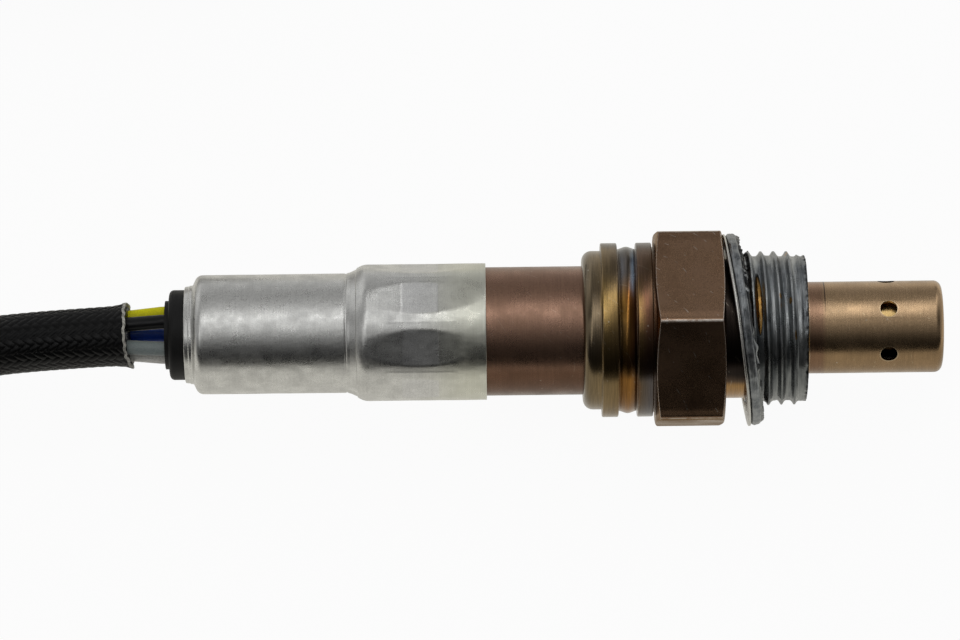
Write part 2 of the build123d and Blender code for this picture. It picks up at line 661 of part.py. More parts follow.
def connector_housing():
    shroud = bar(cap_front_x, shroud_front_x, PLUG_WIDTH, PLUG_HEIGHT, PLUG_Y, plug_z, PLUG_ROUND)
    core = bar(shroud_front_x, core_front_x, CORE_WIDTH, CORE_HEIGHT, PLUG_Y, plug_z, PLUG_ROUND)
    pocket = bar(cap_front_x, pocket_floor_x, CORE_WIDTH, CORE_HEIGHT, PLUG_Y, plug_z, PLUG_ROUND)
    arm_z = plug_z + (PLUG_HEIGHT - LATCH_THICKNESS) / 2
    tip_x = shroud_front_x + LATCH_REACH
    arm = bar(shroud_front_x, tip_x, LATCH_WIDTH, LATCH_THICKNESS, PLUG_Y, arm_z)
    catch_profile = Polyline(
        (tip_x, plug_z + PLUG_HEIGHT / 2), (tip_x - LATCH_THICKNESS, plug_z + PLUG_HEIGHT / 2 + 1),
        (tip_x - 2 * LATCH_THICKNESS, plug_z + PLUG_HEIGHT / 2 + 1),
        (tip_x - 2 * LATCH_THICKNESS, plug_z + PLUG_HEIGHT / 2), close=True,
    )
    catch_plane = Plane((0, PLUG_Y + LATCH_WIDTH / 2, 0), x_dir=(1, 0, 0), z_dir=(0, -1, 0))
    catch = extrude(catch_plane * make_face(catch_profile), LATCH_WIDTH)
    cavities = plug_holes(pocket_floor_x, core_front_x, TERMINAL_DIAMETER / 2 + SLIP)
    return shroud + core + arm + catch - pocket - cavities


def connector_rear_cap():
    plate = bar(PLUG_REAR_X, cap_front_x, PLUG_WIDTH, PLUG_HEIGHT, PLUG_Y, plug_z, PLUG_ROUND)
    spigot = bar(
        cap_front_x, spigot_front_x, CORE_WIDTH - 2 * FACE, CORE_HEIGHT - 2 * FACE,
        PLUG_Y, plug_z, PLUG_ROUND - FACE,
    )
    return plate + spigot - plug_holes(PLUG_REAR_X, spigot_front_x, WIRE_DIAMETER / 2 + SLIP)


def mat_seal():
    mat = bar(
        spigot_front_x, pocket_floor_x, CORE_WIDTH - 2 * SLIP, CORE_HEIGHT - 2 * SLIP,
        PLUG_Y, plug_z, PLUG_ROUND - SLIP,
    )
    return mat - plug_holes(spigot_front_x, pocket_floor_x, WIRE_DIAMETER / 2 + SLIP)


def front_lock():
    front_x = core_front_x + FRONT_LOCK_LENGTH
    plate = bar(core_front_x, front_x, CORE_WIDTH, CORE_HEIGHT, PLUG_Y, plug_z, PLUG_ROUND)
    return plate - plug_holes(core_front_x, front_x, TERMINAL_DIAMETER / 4)


def front_seal():
    x1 = shroud_front_x + FRONT_SEAL_LENGTH
    grow = 2 * FRONT_SEAL_PROUD
    outer = bar(
        shroud_front_x, x1, CORE_WIDTH + grow, CORE_HEIGHT + grow,
        PLUG_Y, plug_z, PLUG_ROUND + FRONT_SEAL_PROUD,
    )
    core = bar(
        shroud_front_x, x1, CORE_WIDTH + 2 * SLIP, CORE_HEIGHT + 2 * SLIP,
        PLUG_Y, plug_z, PLUG_ROUND + SLIP,
    )
    return outer - core


nodes = {
    "hex_body": hex_body(),
    "gasket": gasket(),
    "outer_protector": outer_protector(),
    "inner_protector": inner_protector(),
    "sensing_element": sensing_element(),
    "element_cup": element_cup(),
    "ceramic_holder": ceramic_holder(),
    "talc_packing": talc_packing(),
    "ceramic_sleeve": ceramic_sleeve(),
    "packing_ring": packing_ring(),
    "inner_cover": inner_cover(),
    "outer_cover": outer_cover(),
    "grommet": grommet(),
    "wire_guide": wire_guide(),
    "contact_holder": contact_holder(),
    "contact_clip": contact_clip(),
    "lead_sleeve": lead_sleeve(),
    "lead_coil": lead_coil(),
    "coil_tie": coil_tie(),
    "lead_tail": lead_tail(),
    "connector_housing": connector_housing(),
    "connector_rear_cap": connector_rear_cap(),
    "mat_seal": mat_seal(),
    "front_seal": front_seal(),
    "front_lock": front_lock(),
}
for colour, angle in WIRE_ANGLES.items():
    nodes[f"contact_{colour}"] = contact(colour)
    nodes[f"wire_{colour}"] = sensor_wire(angle)
    nodes[f"plug_wire_{colour}"] = plug_wire(colour)
    nodes[f"terminal_{colour}"] = terminal(colour)

os.makedirs("parts", exist_ok=True)
for name, solid in nodes.items():
    export_step(solid, f"parts/{name}.step")
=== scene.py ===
import bmesh
import bpy
import numpy as np
from math import acos, cos, pi, radians, sin, sqrt, tan
from mathutils import Matrix, Vector


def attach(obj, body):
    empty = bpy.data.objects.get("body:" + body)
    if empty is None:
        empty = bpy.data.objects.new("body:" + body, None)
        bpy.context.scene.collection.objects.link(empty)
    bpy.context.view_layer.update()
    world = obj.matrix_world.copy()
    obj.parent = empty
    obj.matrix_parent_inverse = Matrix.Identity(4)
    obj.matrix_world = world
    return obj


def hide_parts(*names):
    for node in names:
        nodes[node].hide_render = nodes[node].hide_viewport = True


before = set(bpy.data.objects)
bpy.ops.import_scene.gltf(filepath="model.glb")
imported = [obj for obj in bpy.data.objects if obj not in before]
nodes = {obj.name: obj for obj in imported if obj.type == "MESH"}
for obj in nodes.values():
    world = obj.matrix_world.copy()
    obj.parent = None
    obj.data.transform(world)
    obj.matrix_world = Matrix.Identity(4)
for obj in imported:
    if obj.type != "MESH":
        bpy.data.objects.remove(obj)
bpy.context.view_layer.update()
mm = 0.001
fullTurn = 2 * pi
print("frame loaded:", len(nodes), "nodes")

# Sizes are in mm. x runs along the sensor's axis to the tip, and x = 0 is the gasket's seat.
# Angles round the axis go from +Y towards +Z.
floorHeight = -11
slip = 0.02  # between pieces that touch
scene = bpy.context.scene
scene.view_settings.view_transform = "Standard"


def addObject(name, data):
    obj = bpy.data.objects.new(name, data)
    scene.collection.objects.link(obj)
    return obj


def addMesh(name, points, faces):
    mesh = bpy.data.meshes.new(name)
    mesh.from_pydata((np.reshape(points, (-1, 3)) * mm).tolist(), [], faces)
    return addObject(name, mesh)


def setMaterial(obj, material):
    obj.data.materials.clear()
    obj.data.materials.append(material)


def finishObject(obj, material, sharpAngle):
    setMaterial(obj, material)
    obj.data.shade_smooth()
    obj.data.set_sharp_from_angle(angle=radians(sharpAngle))
    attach(obj, "root")
    return obj


def gridFaces(points, openRows, openColumns):
    # four-sided faces over rows of points; the last row or column joins the first unless it is open
    rows, columns = points.shape[:2]
    r, c = np.meshgrid(np.arange(rows - openRows), np.arange(columns - openColumns), indexing="ij")
    here, after, step = r * columns, (r + 1) % rows * columns, (c + 1) % columns
    return np.stack([here + c, here + step, after + step, after + c], -1).reshape(-1, 4).tolist()


def gridObject(name, points, material, sharpAngle, openRows=False):
    obj = addMesh(name, points, gridFaces(points, openRows, False))
    obj.data.validate()
    work = bmesh.new()
    work.from_mesh(obj.data)
    bmesh.ops.remove_doubles(work, verts=work.verts, dist=1e-7)
    bmesh.ops.recalc_face_normals(work, faces=work.faces)
    work.to_mesh(obj.data)
    work.free()
    return finishObject(obj, material, sharpAngle)


filletSteps = 7


def roundCorners(outline):
    # outline holds stretches of (x, r) or (x, r, fillet) corners; each fillet becomes a short arc
    corners = [corner for stretch in outline.values() for corner in stretch]
    points = []
    for i, corner in enumerate(corners):
        here = np.array(corner[:2], float)
        fillet = corner[2] if len(corner) > 2 else 0
        if not fillet:
            points.append(here)
            continue
        before = np.array(corners[i - 1][:2], float) - here
        after = np.array(corners[(i + 1) % len(corners)][:2], float) - here
        a, b = before / np.linalg.norm(before), after / np.linalg.norm(after)
        half = acos(np.clip(a @ b, -1, 1)) / 2
        sweep = pi - 2 * half
        reach = fillet / tan(half)
        middle = here + (a + b) / np.linalg.norm(a + b) * fillet / sin(half)
        startArm, endArm = here + a * reach - middle, here + b * reach - middle
        for k in range(filletSteps + 1):
            t = k / filletSteps
            points.append(middle + (startArm * sin((1 - t) * sweep) + endArm * sin(t * sweep)) / sin(sweep))
    return np.array(points)


def ringAngles(count):
    return np.linspace(0, fullTurn, count, endpoint=False)


def polar(x, r, angle):
    return np.stack(np.broadcast_arrays(x, r * np.cos(angle), r * np.sin(angle)), -1)


def turnedObject(name, profile, material, segments, wander, sharpAngle=30, seat=None):
    # turns a profile about the axis, uneven as wander says, and moves it to its seat
    angle = ringAngles(segments)
    points = polar(*wander(profile[:, :1], profile[:, 1:], angle), angle)
    if seat:
        turn, shift = seat
        points = points @ turn.T + shift
    return gridObject(name, points, material, sharpAngle)


hashSteps = np.array([374761393, 668265263, 1440662683, 974634777, 1274126177])
wordMask = 0xFFFFFFFF


def softNoise(points, size, seed=0):
    # smooth value noise from -1 to 1 on points in mm, the same every run
    p = np.asarray(points) / size + seed * 17.31
    cell = np.floor(p).astype(np.int64)
    t = p - cell
    t = t * t * (3 - 2 * t)
    total = 0
    for corner in range(8):
        step = np.array([corner & 1, corner >> 1 & 1, corner >> 2 & 1])
        k = cell + step
        h = (k @ hashSteps[:3] + seed * hashSteps[3]) & wordMask
        h = ((h ^ (h >> 13)) * hashSteps[4]) & wordMask
        h = (h ^ (h >> 16)) & 0xFFFF
        weight = np.prod(np.where(step == 1, t, 1 - t), axis=-1)
        total = total + weight * (h / 32767.5 - 1)
    return total


def smooth(t):
    t = np.clip(t, 0, 1)
    return t * t * (3 - 2 * t)


def angleApart(a, b):
    return (a - b + pi) % fullTurn - pi


# shader nodes: a value is a number, a vector, a colour of three parts or another node's output
def isOutput(value):
    return isinstance(value, bpy.types.NodeSocket)


def setInputs(sockets, values):
    for key, value in values.items():
        if isOutput(value):
            sockets[key].id_data.links.new(value, sockets[key])
        else:
            sockets[key].default_value = (*value, 1) if sockets[key].type == "RGBA" else value


def addNode(tree, kind, inputs=None, **settings):
    node = tree.nodes.new("ShaderNode" + kind)
    for key, value in settings.items():
        setattr(node, key, value)
    setInputs(node.inputs, inputs or {})
    return node


def valueNode(kind, inputs, **settings):
    # the outputs of a node in the tree of the first output that it is given
    return addNode(next(v.id_data for v in inputs.values() if isOutput(v)), kind, inputs, **settings).outputs


def calc(operation, *values, clamp=False):
    return valueNode("Math", dict(enumerate(values)), operation=operation, use_clamp=clamp)[0]


def plus(a, b, clamp=False):
    return calc("ADD", a, b, clamp=clamp)


def minus(a, b):
    return calc("SUBTRACT", a, b)


def times(a, b):
    return calc("MULTIPLY", a, b)


def divide(a, b):
    return calc("DIVIDE", a, b)


def mixColor(factor, a, b, blend="MIX"):
    return valueNode("Mix", {0: factor, 6: a, 7: b}, data_type="RGBA", blend_type=blend)[2]


def multiplyColor(color, shade):
    return mixColor(1, color, shade, "MULTIPLY")


def rampNode(factor, stops, interpolation="LINEAR"):
    # stops hold a place from 0 to 1, and a colour or a shade of grey
    output = valueNode("ValToRGB", {0: factor})[0]
    ramp = output.node.color_ramp
    ramp.interpolation = interpolation
    elements = ramp.elements
    while len(elements) > 1:
        elements.remove(elements[-1])
    for i, (place, color) in enumerate(stops):
        element = elements[0] if i == 0 else elements.new(place)
        element.position = place
        element.color = (*color, 1) if isinstance(color, tuple) else (color, color, color, 1)
    return output


def rampAlong(value, stops):
    # the same over mm: stops hold a place in mm, in rising order
    low, high = stops[0][0], stops[-1][0]
    factor = valueNode("MapRange", {0: value, 1: low, 2: high})[0]
    return rampNode(factor, [((x - low) / (high - low), color) for x, color in stops])


def fade(value, low, high, start=0, end=1):
    inputs = {0: value, 1: low, 2: high, 3: start, 4: end}
    return valueNode("MapRange", inputs, interpolation_type="SMOOTHSTEP")[0]


def millimetres(tree, stretch=(1, 1, 1)):
    # the piece's own coordinates in mm, so that grain stays at its real scale
    place = addNode(tree, "TexCoord").outputs["Object"]
    return valueNode("Mapping", {"Vector": place, "Scale": tuple(1000 * s for s in stretch)})[0]


def partsOf(vector):
    return valueNode("SeparateXYZ", {0: vector})


def placeParts(tree):
    return partsOf(millimetres(tree))


def fromAxis(place):
    square = plus(calc("POWER", place[1], 2), calc("POWER", place[2], 2))
    return calc("SQRT", square)


def noise(vector, scale, detail=3, roughness=0.5):
    inputs = {"Vector": vector, "Scale": scale, "Detail": detail, "Roughness": roughness}
    return valueNode("TexNoise", inputs)[0]


def newGroup(name, inputs, outputs):
    # named sockets: inputs says what each holds at first, and a socket that is called a colour is one
    tree = bpy.data.node_groups.new(name, "ShaderNodeTree")
    for way, labels in (("INPUT", inputs), ("OUTPUT", outputs)):
        for label in labels:
            kind = "NodeSocketColor" if label.endswith("Color") else "NodeSocketFloat"
            socket = tree.interface.new_socket(name=label, in_out=way, socket_type=kind)
            if way == "INPUT":
                socket.default_value = inputs[label]
    return tree, tree.nodes.new("NodeGroupInput").outputs, tree.nodes.new("NodeGroupOutput").inputs


def buildGrainGroup():
    # even, fine surface grain with slow patches of shade
    tree, given, out = newGroup("surfaceGrain", {
        "Color": (0.5, 0.5, 0.5, 1), "Patch Color": (0.4, 0.4, 0.4, 1), "Patch Size": 3, "Patch Amount": 0.5,
        "Grain Size": 0.15, "Roughness": 0.4, "Roughness Spread": 0.1,
    }, ("Color", "Roughness", "Height"))
    place = millimetres(tree)
    patch = noise(place, divide(1, given["Patch Size"]), 4, 0.6)
    grain = noise(place, divide(1, given["Grain Size"]), 2, 0.6)
    spread = times(fade(patch, 0.35, 0.68), given["Patch Amount"])
    shade = mixColor(spread, given["Color"], given["Patch Color"])
    wobble = times(minus(patch, 0.5), given["Roughness Spread"])
    fine = times(minus(grain, 0.5), given["Roughness Spread"])
    setInputs(out, {
        "Color": multiplyColor(shade, fade(grain, 0.3, 0.7, 0.88, 1.1)),
        "Roughness": plus(plus(given["Roughness"], times(wobble, 2)), fine, clamp=True),
        "Height": grain,
    })
    return tree


def buildTurningGroup():
    # fine lines round the axis, as a lathe tool or handling leaves them, with a few crossing scratches
    tree, given, out = newGroup("turnedLines", {
        "Line Width": 0.08, "Scratch Size": 3, "Scratch Amount": 0.5,
    }, ("Lines", "Scratches", "Specks"))
    place = millimetres(tree)
    tilted = valueNode("Mapping", {"Vector": place, "Rotation": (0.5, 0.35, 0.7)})[0]
    count = plus(divide(partsOf(tilted)[1], given["Scratch Size"]), times(noise(tilted, 0.12, 1), 3))
    away = calc("ABSOLUTE", minus(calc("FRACT", count), 0.5))
    stretched = valueNode("VectorMath", {0: tilted, 1: (0.35, 1.6, 1.6)}, operation="MULTIPLY")[0]
    broken = fade(noise(stretched, 1, 1), 0.56, 0.66)
    cells = valueNode("TexVoronoi", {"Vector": place, "Scale": 0.9})
    picked = fade(valueNode("SeparateColor", {0: cells["Color"]})[0], 0.72, 0.78)
    setInputs(out, {
        "Lines": noise(millimetres(tree, (1, 0.02, 0.02)), divide(1, given["Line Width"]), 2, 0.7),
        "Scratches": times(times(fade(away, 0.022, 0.006), broken), given["Scratch Amount"]),
        "Specks": times(picked, fade(cells["Distance"], 0.11, 0.05)),
    })
    return tree


def buildEdgeGroup():
    # 1 where a corner of the piece is rubbed
    tree, given, out = newGroup("edgeWear", {"Width": 0.2}, ("Edge",))
    softened = valueNode("Bevel", {"Radius": times(given["Width"], mm)}, samples=4)[0]
    plainNormal = addNode(tree, "NewGeometry").outputs["Normal"]
    likeness = valueNode("VectorMath", {0: softened, 1: plainNormal}, operation="DOT_PRODUCT")["Value"]
    setInputs(out, {"Edge": fade(likeness, 0.985, 0.86)})
    return tree


grainGroup = buildGrainGroup()
turningGroup = buildTurningGroup()
edgeGroup = buildEdgeGroup()

# what a look says where a piece's own dictionary doesn't
plainDefaults = {
    "patchSize": 3, "patchAmount": 0.5, "grainSize": 0.15, "spread": 0.15, "specular": 0.5, "relief": 0.01,
}
# in a metal look, under is the colour of painted shade on what faces the floor
metalDefaults = {
    "patchSize": 3, "patchAmount": 0.6, "grainSize": 0.12, "spread": 0.18, "specular": 0.5, "relief": 0.006,
    "metallic": 1, "grazing": (1, 1, 1), "lineWidth": 0.09, "lineShade": 0.12, "lineRelief": 0.5, "scratchSize": 1.3,
    "scratches": 0.5, "specks": 0, "speckColor": (0.55, 0.5, 0.42), "edgeWidth": 0.25, "edgeAmount": 0.6,
    "bare": (0.62, 0.58, 0.52), "under": None, "underFrom": 4.2, "underFade": 0.5,
}


def lookOf(color, patch, roughness, **rest):
    return {"color": color, "patch": patch, "roughness": roughness, **rest}


def newMaterial(name):
    material = bpy.data.materials.new(name)
    material.use_nodes = True
    tree = material.node_tree
    return material, tree, tree.nodes["Principled BSDF"]


def grainedMaterial(name, look):
    material, tree, shader = newMaterial(name)
    grain = addNode(tree, "Group", {
        "Color": look["color"], "Patch Color": look["patch"], "Patch Size": look["patchSize"],
        "Patch Amount": look["patchAmount"], "Grain Size": look["grainSize"],
        "Roughness": look["roughness"], "Roughness Spread": look["spread"],
    }, node_tree=grainGroup).outputs
    return material, tree, shader, grain


def finishShader(shader, look, color, roughness, height):
    bump = valueNode("Bump", {"Strength": 1, "Distance": look["relief"] * mm, "Height": height})[0]
    setInputs(shader.inputs, {
        "Base Color": color, "Roughness": roughness, "Specular IOR Level": look["specular"], "Normal": bump,
    })


def plainMaterial(name, look):
    # moulded, woven and ceramic finishes
    look = {**plainDefaults, **look}
    material, _, shader, grain = grainedMaterial(name, look)
    finishShader(shader, look, *grain)
    return material


def metalMaterial(name, look, tint=None, rougher=None):
    # base colour, slower patches of tint, turned lines, scratches, specks, painted shade on what faces the floor and
    # rubbed edges
    look = {**metalDefaults, **look}
    material, tree, shader, grain = grainedMaterial(name, look)
    turning = addNode(tree, "Group", {
        "Line Width": look["lineWidth"], "Scratch Size": look["scratchSize"], "Scratch Amount": look["scratches"],
    }, node_tree=turningGroup).outputs
    edge = addNode(tree, "Group", {"Width": look["edgeWidth"]}, node_tree=edgeGroup).outputs["Edge"]
    color = tint(tree, grain["Color"]) if tint else grain["Color"]
    lines = fade(turning["Lines"], 0.3, 0.7, 1 - look["lineShade"], 1 + look["lineShade"])
    color = mixColor(turning["Scratches"], multiplyColor(color, lines), look["bare"])
    if look["under"]:
        # painted shade: what faces the floor is darker
        paintedShadeBelow = fade(placeParts(tree)[2], look["underFrom"], look["underFrom"] - look["underFade"])
        color = mixColor(paintedShadeBelow, color, multiplyColor(color, look["under"]))
    if look["specks"]:
        color = mixColor(times(turning["Specks"], look["specks"]), color, look["speckColor"])
    color = mixColor(times(edge, look["edgeAmount"]), color, look["bare"])
    roughness = grain["Roughness"]
    if rougher:
        roughness = plus(roughness, times(rougher(tree), 0.03), clamp=True)
    setInputs(shader.inputs, {"Metallic": look["metallic"], "Specular Tint": look["grazing"]})
    height = plus(times(turning["Lines"], look["lineRelief"]), grain["Height"])
    finishShader(shader, look, color, roughness, height)
    return material


print("shader groups ready")


# camera and studio
view = {
    "elevation": 55.5, "distance": 660, "lens": 212, "sensor": 36, "roll": 0.675,
    "target": (-28.3, 0, 0), "rise": 1.345, "near": 0.01, "far": 20,
}


def makeCamera():
    data = bpy.data.cameras.new("viewCamera")
    data.lens, data.sensor_width = view["lens"], view["sensor"]
    data.clip_start, data.clip_end = view["near"], view["far"]
    camera = addObject("viewCamera", data)
    tilt = Matrix.Rotation(radians(90 - view["elevation"]), 4, "X")
    roll = Matrix.Rotation(radians(-view["roll"]), 4, "Z")
    place = Vector(view["target"]) + tilt @ Vector((0, view["rise"], view["distance"]))
    camera.matrix_world = Matrix.Translation(place * mm) @ tilt @ roll
    scene.camera = camera


makeCamera()

sky = {
    # brightness by angle round the sensor's axis: 0 is the front horizon, 90 overhead, 180 the back horizon
    "brightness": [
        (-90, 0.3), (-20, 0.05), (4, 0.028), (18, 0.034), (32, 0.07), (50, 0.2), (68, 0.5),
        (104, 0.6), (122, 0.24), (146, 0.28), (168, 0.55), (186, 0.75), (240, 0.6),
    ],
    # overhead, the bands run at a slant: degrees further back for each unit of heading towards the probe
    "slant": 140, "slantFrom": 35, "slantFull": 95, "slantReach": 0.4,
    # both ends of the axis look into an even grey
    "endColor": (0.45, 0.45, 0.45), "endFrom": 0.75, "endFull": 0.98,
}


def makeSky():
    world = bpy.data.worlds.new("studio")
    scene.world = world
    world.use_nodes = True
    tree = world.node_tree
    tree.nodes.clear()
    heading = partsOf(addNode(tree, "TexCoord").outputs["Generated"])
    front = times(heading[1], -1)
    angle = calc("DEGREES", calc("ARCTAN2", heading[2], front))
    reach = sky["slantReach"]
    sideways = calc("MAXIMUM", calc("MINIMUM", heading[0], reach), -reach)
    sideways = times(sideways, fade(angle, sky["slantFrom"], sky["slantFull"]))
    slanted = minus(angle, times(sideways, sky["slant"]))
    start = -sky["brightness"][0][0]
    wrapped = calc("FLOORED_MODULO", plus(slanted, start), 360)
    stops = [((a + start) / 360, brightness) for a, brightness in sky["brightness"]]
    around = rampNode(divide(wrapped, 360), stops, "EASE")
    ends = fade(calc("ABSOLUTE", heading[0]), sky["endFrom"], sky["endFull"])
    glow = mixColor(ends, around, sky["endColor"])
    seen = addNode(tree, "LightPath").outputs["Is Camera Ray"]
    lit = valueNode("Background", {"Color": mixColor(seen, glow, (1, 1, 1))})
    addNode(tree, "OutputWorld", {0: lit[0]})


lamp = {"place": (-30, -5, 900), "length": 2600, "depth": 170, "radiance": 1.42, "turn": 60}


def makeLamp():
    light = bpy.data.lights.new("overheadLamp", "AREA")
    light.shape, light.size, light.size_y = "RECTANGLE", lamp["length"] * mm, lamp["depth"] * mm
    light.energy = lamp["radiance"] * pi * light.size * light.size_y
    obj = addObject("overheadLamp", light)
    obj.location = [c * mm for c in lamp["place"]]
    obj.rotation_euler = (0, 0, radians(lamp["turn"]))
    obj.visible_camera = False


floorLook = {
    "halfSize": 3000, "color": (0.9, 0.9, 0.9), "roughness": 0.9, "seen": 0.95, "reflected": (1, 0.975, 0.9),
    # in reflections the surface ends in front, as a table does: where, in metres, and how bright on each side
    "edge": (-0.13, -0.045), "brightness": (0.02, 0.72),
}


def makeFloor():
    material, tree, shader = newMaterial("paleFloor")
    setInputs(shader.inputs, {"Base Color": floorLook["color"], "Roughness": floorLook["roughness"]})
    ray = addNode(tree, "LightPath").outputs
    front = partsOf(addNode(tree, "TexCoord").outputs["Object"])[1]
    mirrored = fade(front, *floorLook["edge"], *floorLook["brightness"])
    strength = calc("MAXIMUM", ray["Is Camera Ray"], times(ray["Is Glossy Ray"], mirrored))
    strength = calc("MAXIMUM", strength, ray["Is Transmission Ray"])
    color = mixColor(ray["Is Glossy Ray"], (1, 1, 1), floorLook["reflected"])
    white = valueNode("Emission", {"Color": color, "Strength": strength})[0]
    share = calc("MAXIMUM", times(ray["Is Camera Ray"], floorLook["seen"]), ray["Is Glossy Ray"])
    share = calc("MAXIMUM", share, ray["Is Transmission Ray"])
    mix = valueNode("MixShader", {0: share, 1: shader.outputs[0], 2: white})[0]
    setInputs(tree.nodes["Material Output"].inputs, {0: mix})
    size = floorLook["halfSize"]
    corners = [(-size, -size, 0), (size, -size, 0), (size, size, 0), (-size, size, 0)]
    floor = addMesh("floor", corners, [(0, 1, 2, 3)])
    setMaterial(floor, material)
    floor.location = (0, 0, (floorHeight - slip) * mm)


makeSky()
makeLamp()
makeFloor()
print("studio ready")


# the shell: crimped lip, two collar rings and the buckled wall between them, then the undercut
shell = {
    "outline": {
        "lip": [(-16.4, 7.54), (-16.4, 9.25, 1.15), (-14.2, 9.25, 0.12)],
        "rearRing": [(-14.2, 10.15, 0.14), (-12.3, 10.15, 0.16)],
        "buckle": [(-12.3, 9.42, 0.12), (-12, 9.5, 0.3), (-11.2, 9.78, 0.9), (-10.4, 9.5, 0.3), (-10.1, 9.4, 0.1)],
        "frontRing": [(-10.1, 10.15, 0.14), (-8.3, 10.15, 0.12), (-8.3, 9.62, 0.05)],
        "core": [(-7.9, 9.62), (-7.9, 9.55), (-0.1, 9.55)],
        "undercut": [(-0.1, 8.1), (2.6, 8.1)],
        "bore": [(2.6, 7.1), (-13.9, 7.1), (-13.9, 8.06), (-15.28, 8.06), (-15.28, 7.54)],
    },
    "segments": 320, "unevenness": 0.012, "buckling": 0.07,
    "look": lookOf((0.3, 0.19, 0.115), (0.24, 0.155, 0.09), 0.21, specks=0.5, bare=(0.5, 0.45, 0.37),
                   edgeAmount=0.5, edgeWidth=0.14, lineShade=0.2, spread=0.13, scratches=0.3),
}
# colour bands where the shell was heated, bluer towards its back; the low colours, darker low down, are painted
# shade, as are the dark band and the undercut's black
heatTintAndShade = {
    "warm": [
        (-17, (0.165, 0.135, 0.09)), (-14.4, (0.14, 0.105, 0.065)), (-14.1, (0.34, 0.225, 0.08)),
        (-12.5, (0.29, 0.19, 0.075)), (-12.2, (0.12, 0.07, 0.02)), (-11.6, (0.36, 0.185, 0.04)),
        (-10.9, (0.31, 0.12, 0.027)), (-10.3, (0.09, 0.045, 0.03)), (-9.9, (0.25, 0.15, 0.055)),
        (-9, (0.16, 0.075, 0.045)), (-8.2, (0.11, 0.06, 0.035)), (-7, (0.16, 0.1, 0.06)),
    ],
    "cool": [
        (-17, (0.155, 0.135, 0.105)), (-14.1, (0.21, 0.155, 0.085)), (-12.5, (0.18, 0.135, 0.085)),
        (-11.9, (0.1, 0.105, 0.115)), (-11, (0.085, 0.07, 0.055)), (-10.5, (0.2, 0.27, 0.36)),
        (-10.1, (0.13, 0.085, 0.06)), (-8.6, (0.12, 0.075, 0.045)), (-7, (0.13, 0.08, 0.05)),
    ],
    "low": [
        (-17, (0.14, 0.115, 0.075)), (-14.1, (0.2, 0.145, 0.075)), (-12.5, (0.19, 0.13, 0.06)),
        (-12.1, (0.16, 0.075, 0.018)), (-11, (0.23, 0.105, 0.022)), (-10.3, (0.13, 0.07, 0.03)),
        (-9.8, (0.09, 0.07, 0.05)), (-8.8, (0.085, 0.08, 0.082)), (-7, (0.09, 0.06, 0.04)),
    ],
    # the first and the third colours here are painted shade: a dark band and the undercut's black
    "shade": (0.012, 0.009, 0.006), "burnt": (0.3, 0.17, 0.06), "paintedShade": (0.008, 0.008, 0.009), "amount": 0.95,
}


def shellHeatTintAndShade(tree, color):
    place = placeParts(tree)
    wave = noise(millimetres(tree, (0.5, 1, 1)), 0.16, 3)

    def waved(value, width):
        return plus(value, calc("MULTIPLY_ADD", wave, width, -width / 2))

    along, turned, height = waved(place[0], 1.2), waved(place[1], 5), waved(place[2], 3)
    warm, cool, low = [rampAlong(along, heatTintAndShade[band]) for band in ("warm", "cool", "low")]
    heat = mixColor(fade(turned, -2, 1.6), warm, cool)
    # painted shade: the darker low colours take over low down
    heat = mixColor(fade(height, 6.6, 3.6), heat, low)
    # painted shade: a dark band part way up, from the rear ring forward
    paintedShadeBand = times(fade(height, 9.2, 7.6), fade(height, 3, 4.6))
    paintedShadeBand = times(paintedShadeBand, fade(place[0], -14.5, -14.1, 0, 0.6))
    heat = mixColor(paintedShadeBand, heat, heatTintAndShade["shade"])
    # painted shade: the undercut behind the gasket is painted black above, burnt golden low down
    inUndercut = fade(place[0], -0.35, 0.1)
    heat = mixColor(times(inUndercut, fade(height, 1.1, -0.5)), heat, heatTintAndShade["burnt"])
    heat = mixColor(times(inUndercut, fade(height, 0.2, 2.2)), heat, heatTintAndShade["paintedShade"])
    return mixColor(heatTintAndShade["amount"], color, heat)


def collarWander(x, r, angle):
    # hand-bright surfaces are never quite even: the buckle most of all
    inBuckle = smooth((x + 12.45) / 0.3) * smooth((-9.95 - x) / 0.3)
    place = polar(x * 0.4, 9, angle)
    dents = shell["unevenness"] * softNoise(place, 2.5, 3) + inBuckle * shell["buckling"] * softNoise(place, 3, 5)
    return x, r + (r > 8.6) * dents


shellMetal = metalMaterial("shellMetal", shell["look"], shellHeatTintAndShade)
turnedObject("shellCollars", roundCorners(shell["outline"]), shellMetal, shell["segments"], collarWander)

hexagon = {
    "width": 22, "rear": -8, "bore": 9.5, "faceInset": 0.08, "rearSlope": 0.25, "frontSlope": 0.22,
    "cornerRound": 0.35, "cornerSwell": 0.18, "cornerSpan": 0.04, "cornerBend": 39, "bevel": 0.09,
    "sharpAngle": 24, "rubbed": (0.62, 0.58, 0.53), "rubbedRadius": (12.5, 12.528),
    "look": lookOf((0.225, 0.136, 0.083), (0.18, 0.114, 0.074), 0.27, patchSize=5, specks=0.9,
                   bare=(0.78, 0.75, 0.7), edgeAmount=0.95, edgeWidth=0.2, lineShade=0.03, lineRelief=0,
                   scratchSize=1.6, scratches=0.45, relief=0.004, under=(0.5, 0.42, 0.32), underFrom=0.3,
                   grazing=(0.62, 0.5, 0.38)),
}


def hexTint(tree, color):
    # the six corners are rubbed bare where a wrench has turned them
    corner = fade(fromAxis(placeParts(tree)), *hexagon["rubbedRadius"])
    broken = fade(noise(millimetres(tree), 1.4, 3), 0.3, 0.6, 0.2, 0.75)
    return mixColor(times(corner, broken), color, hexagon["rubbed"])


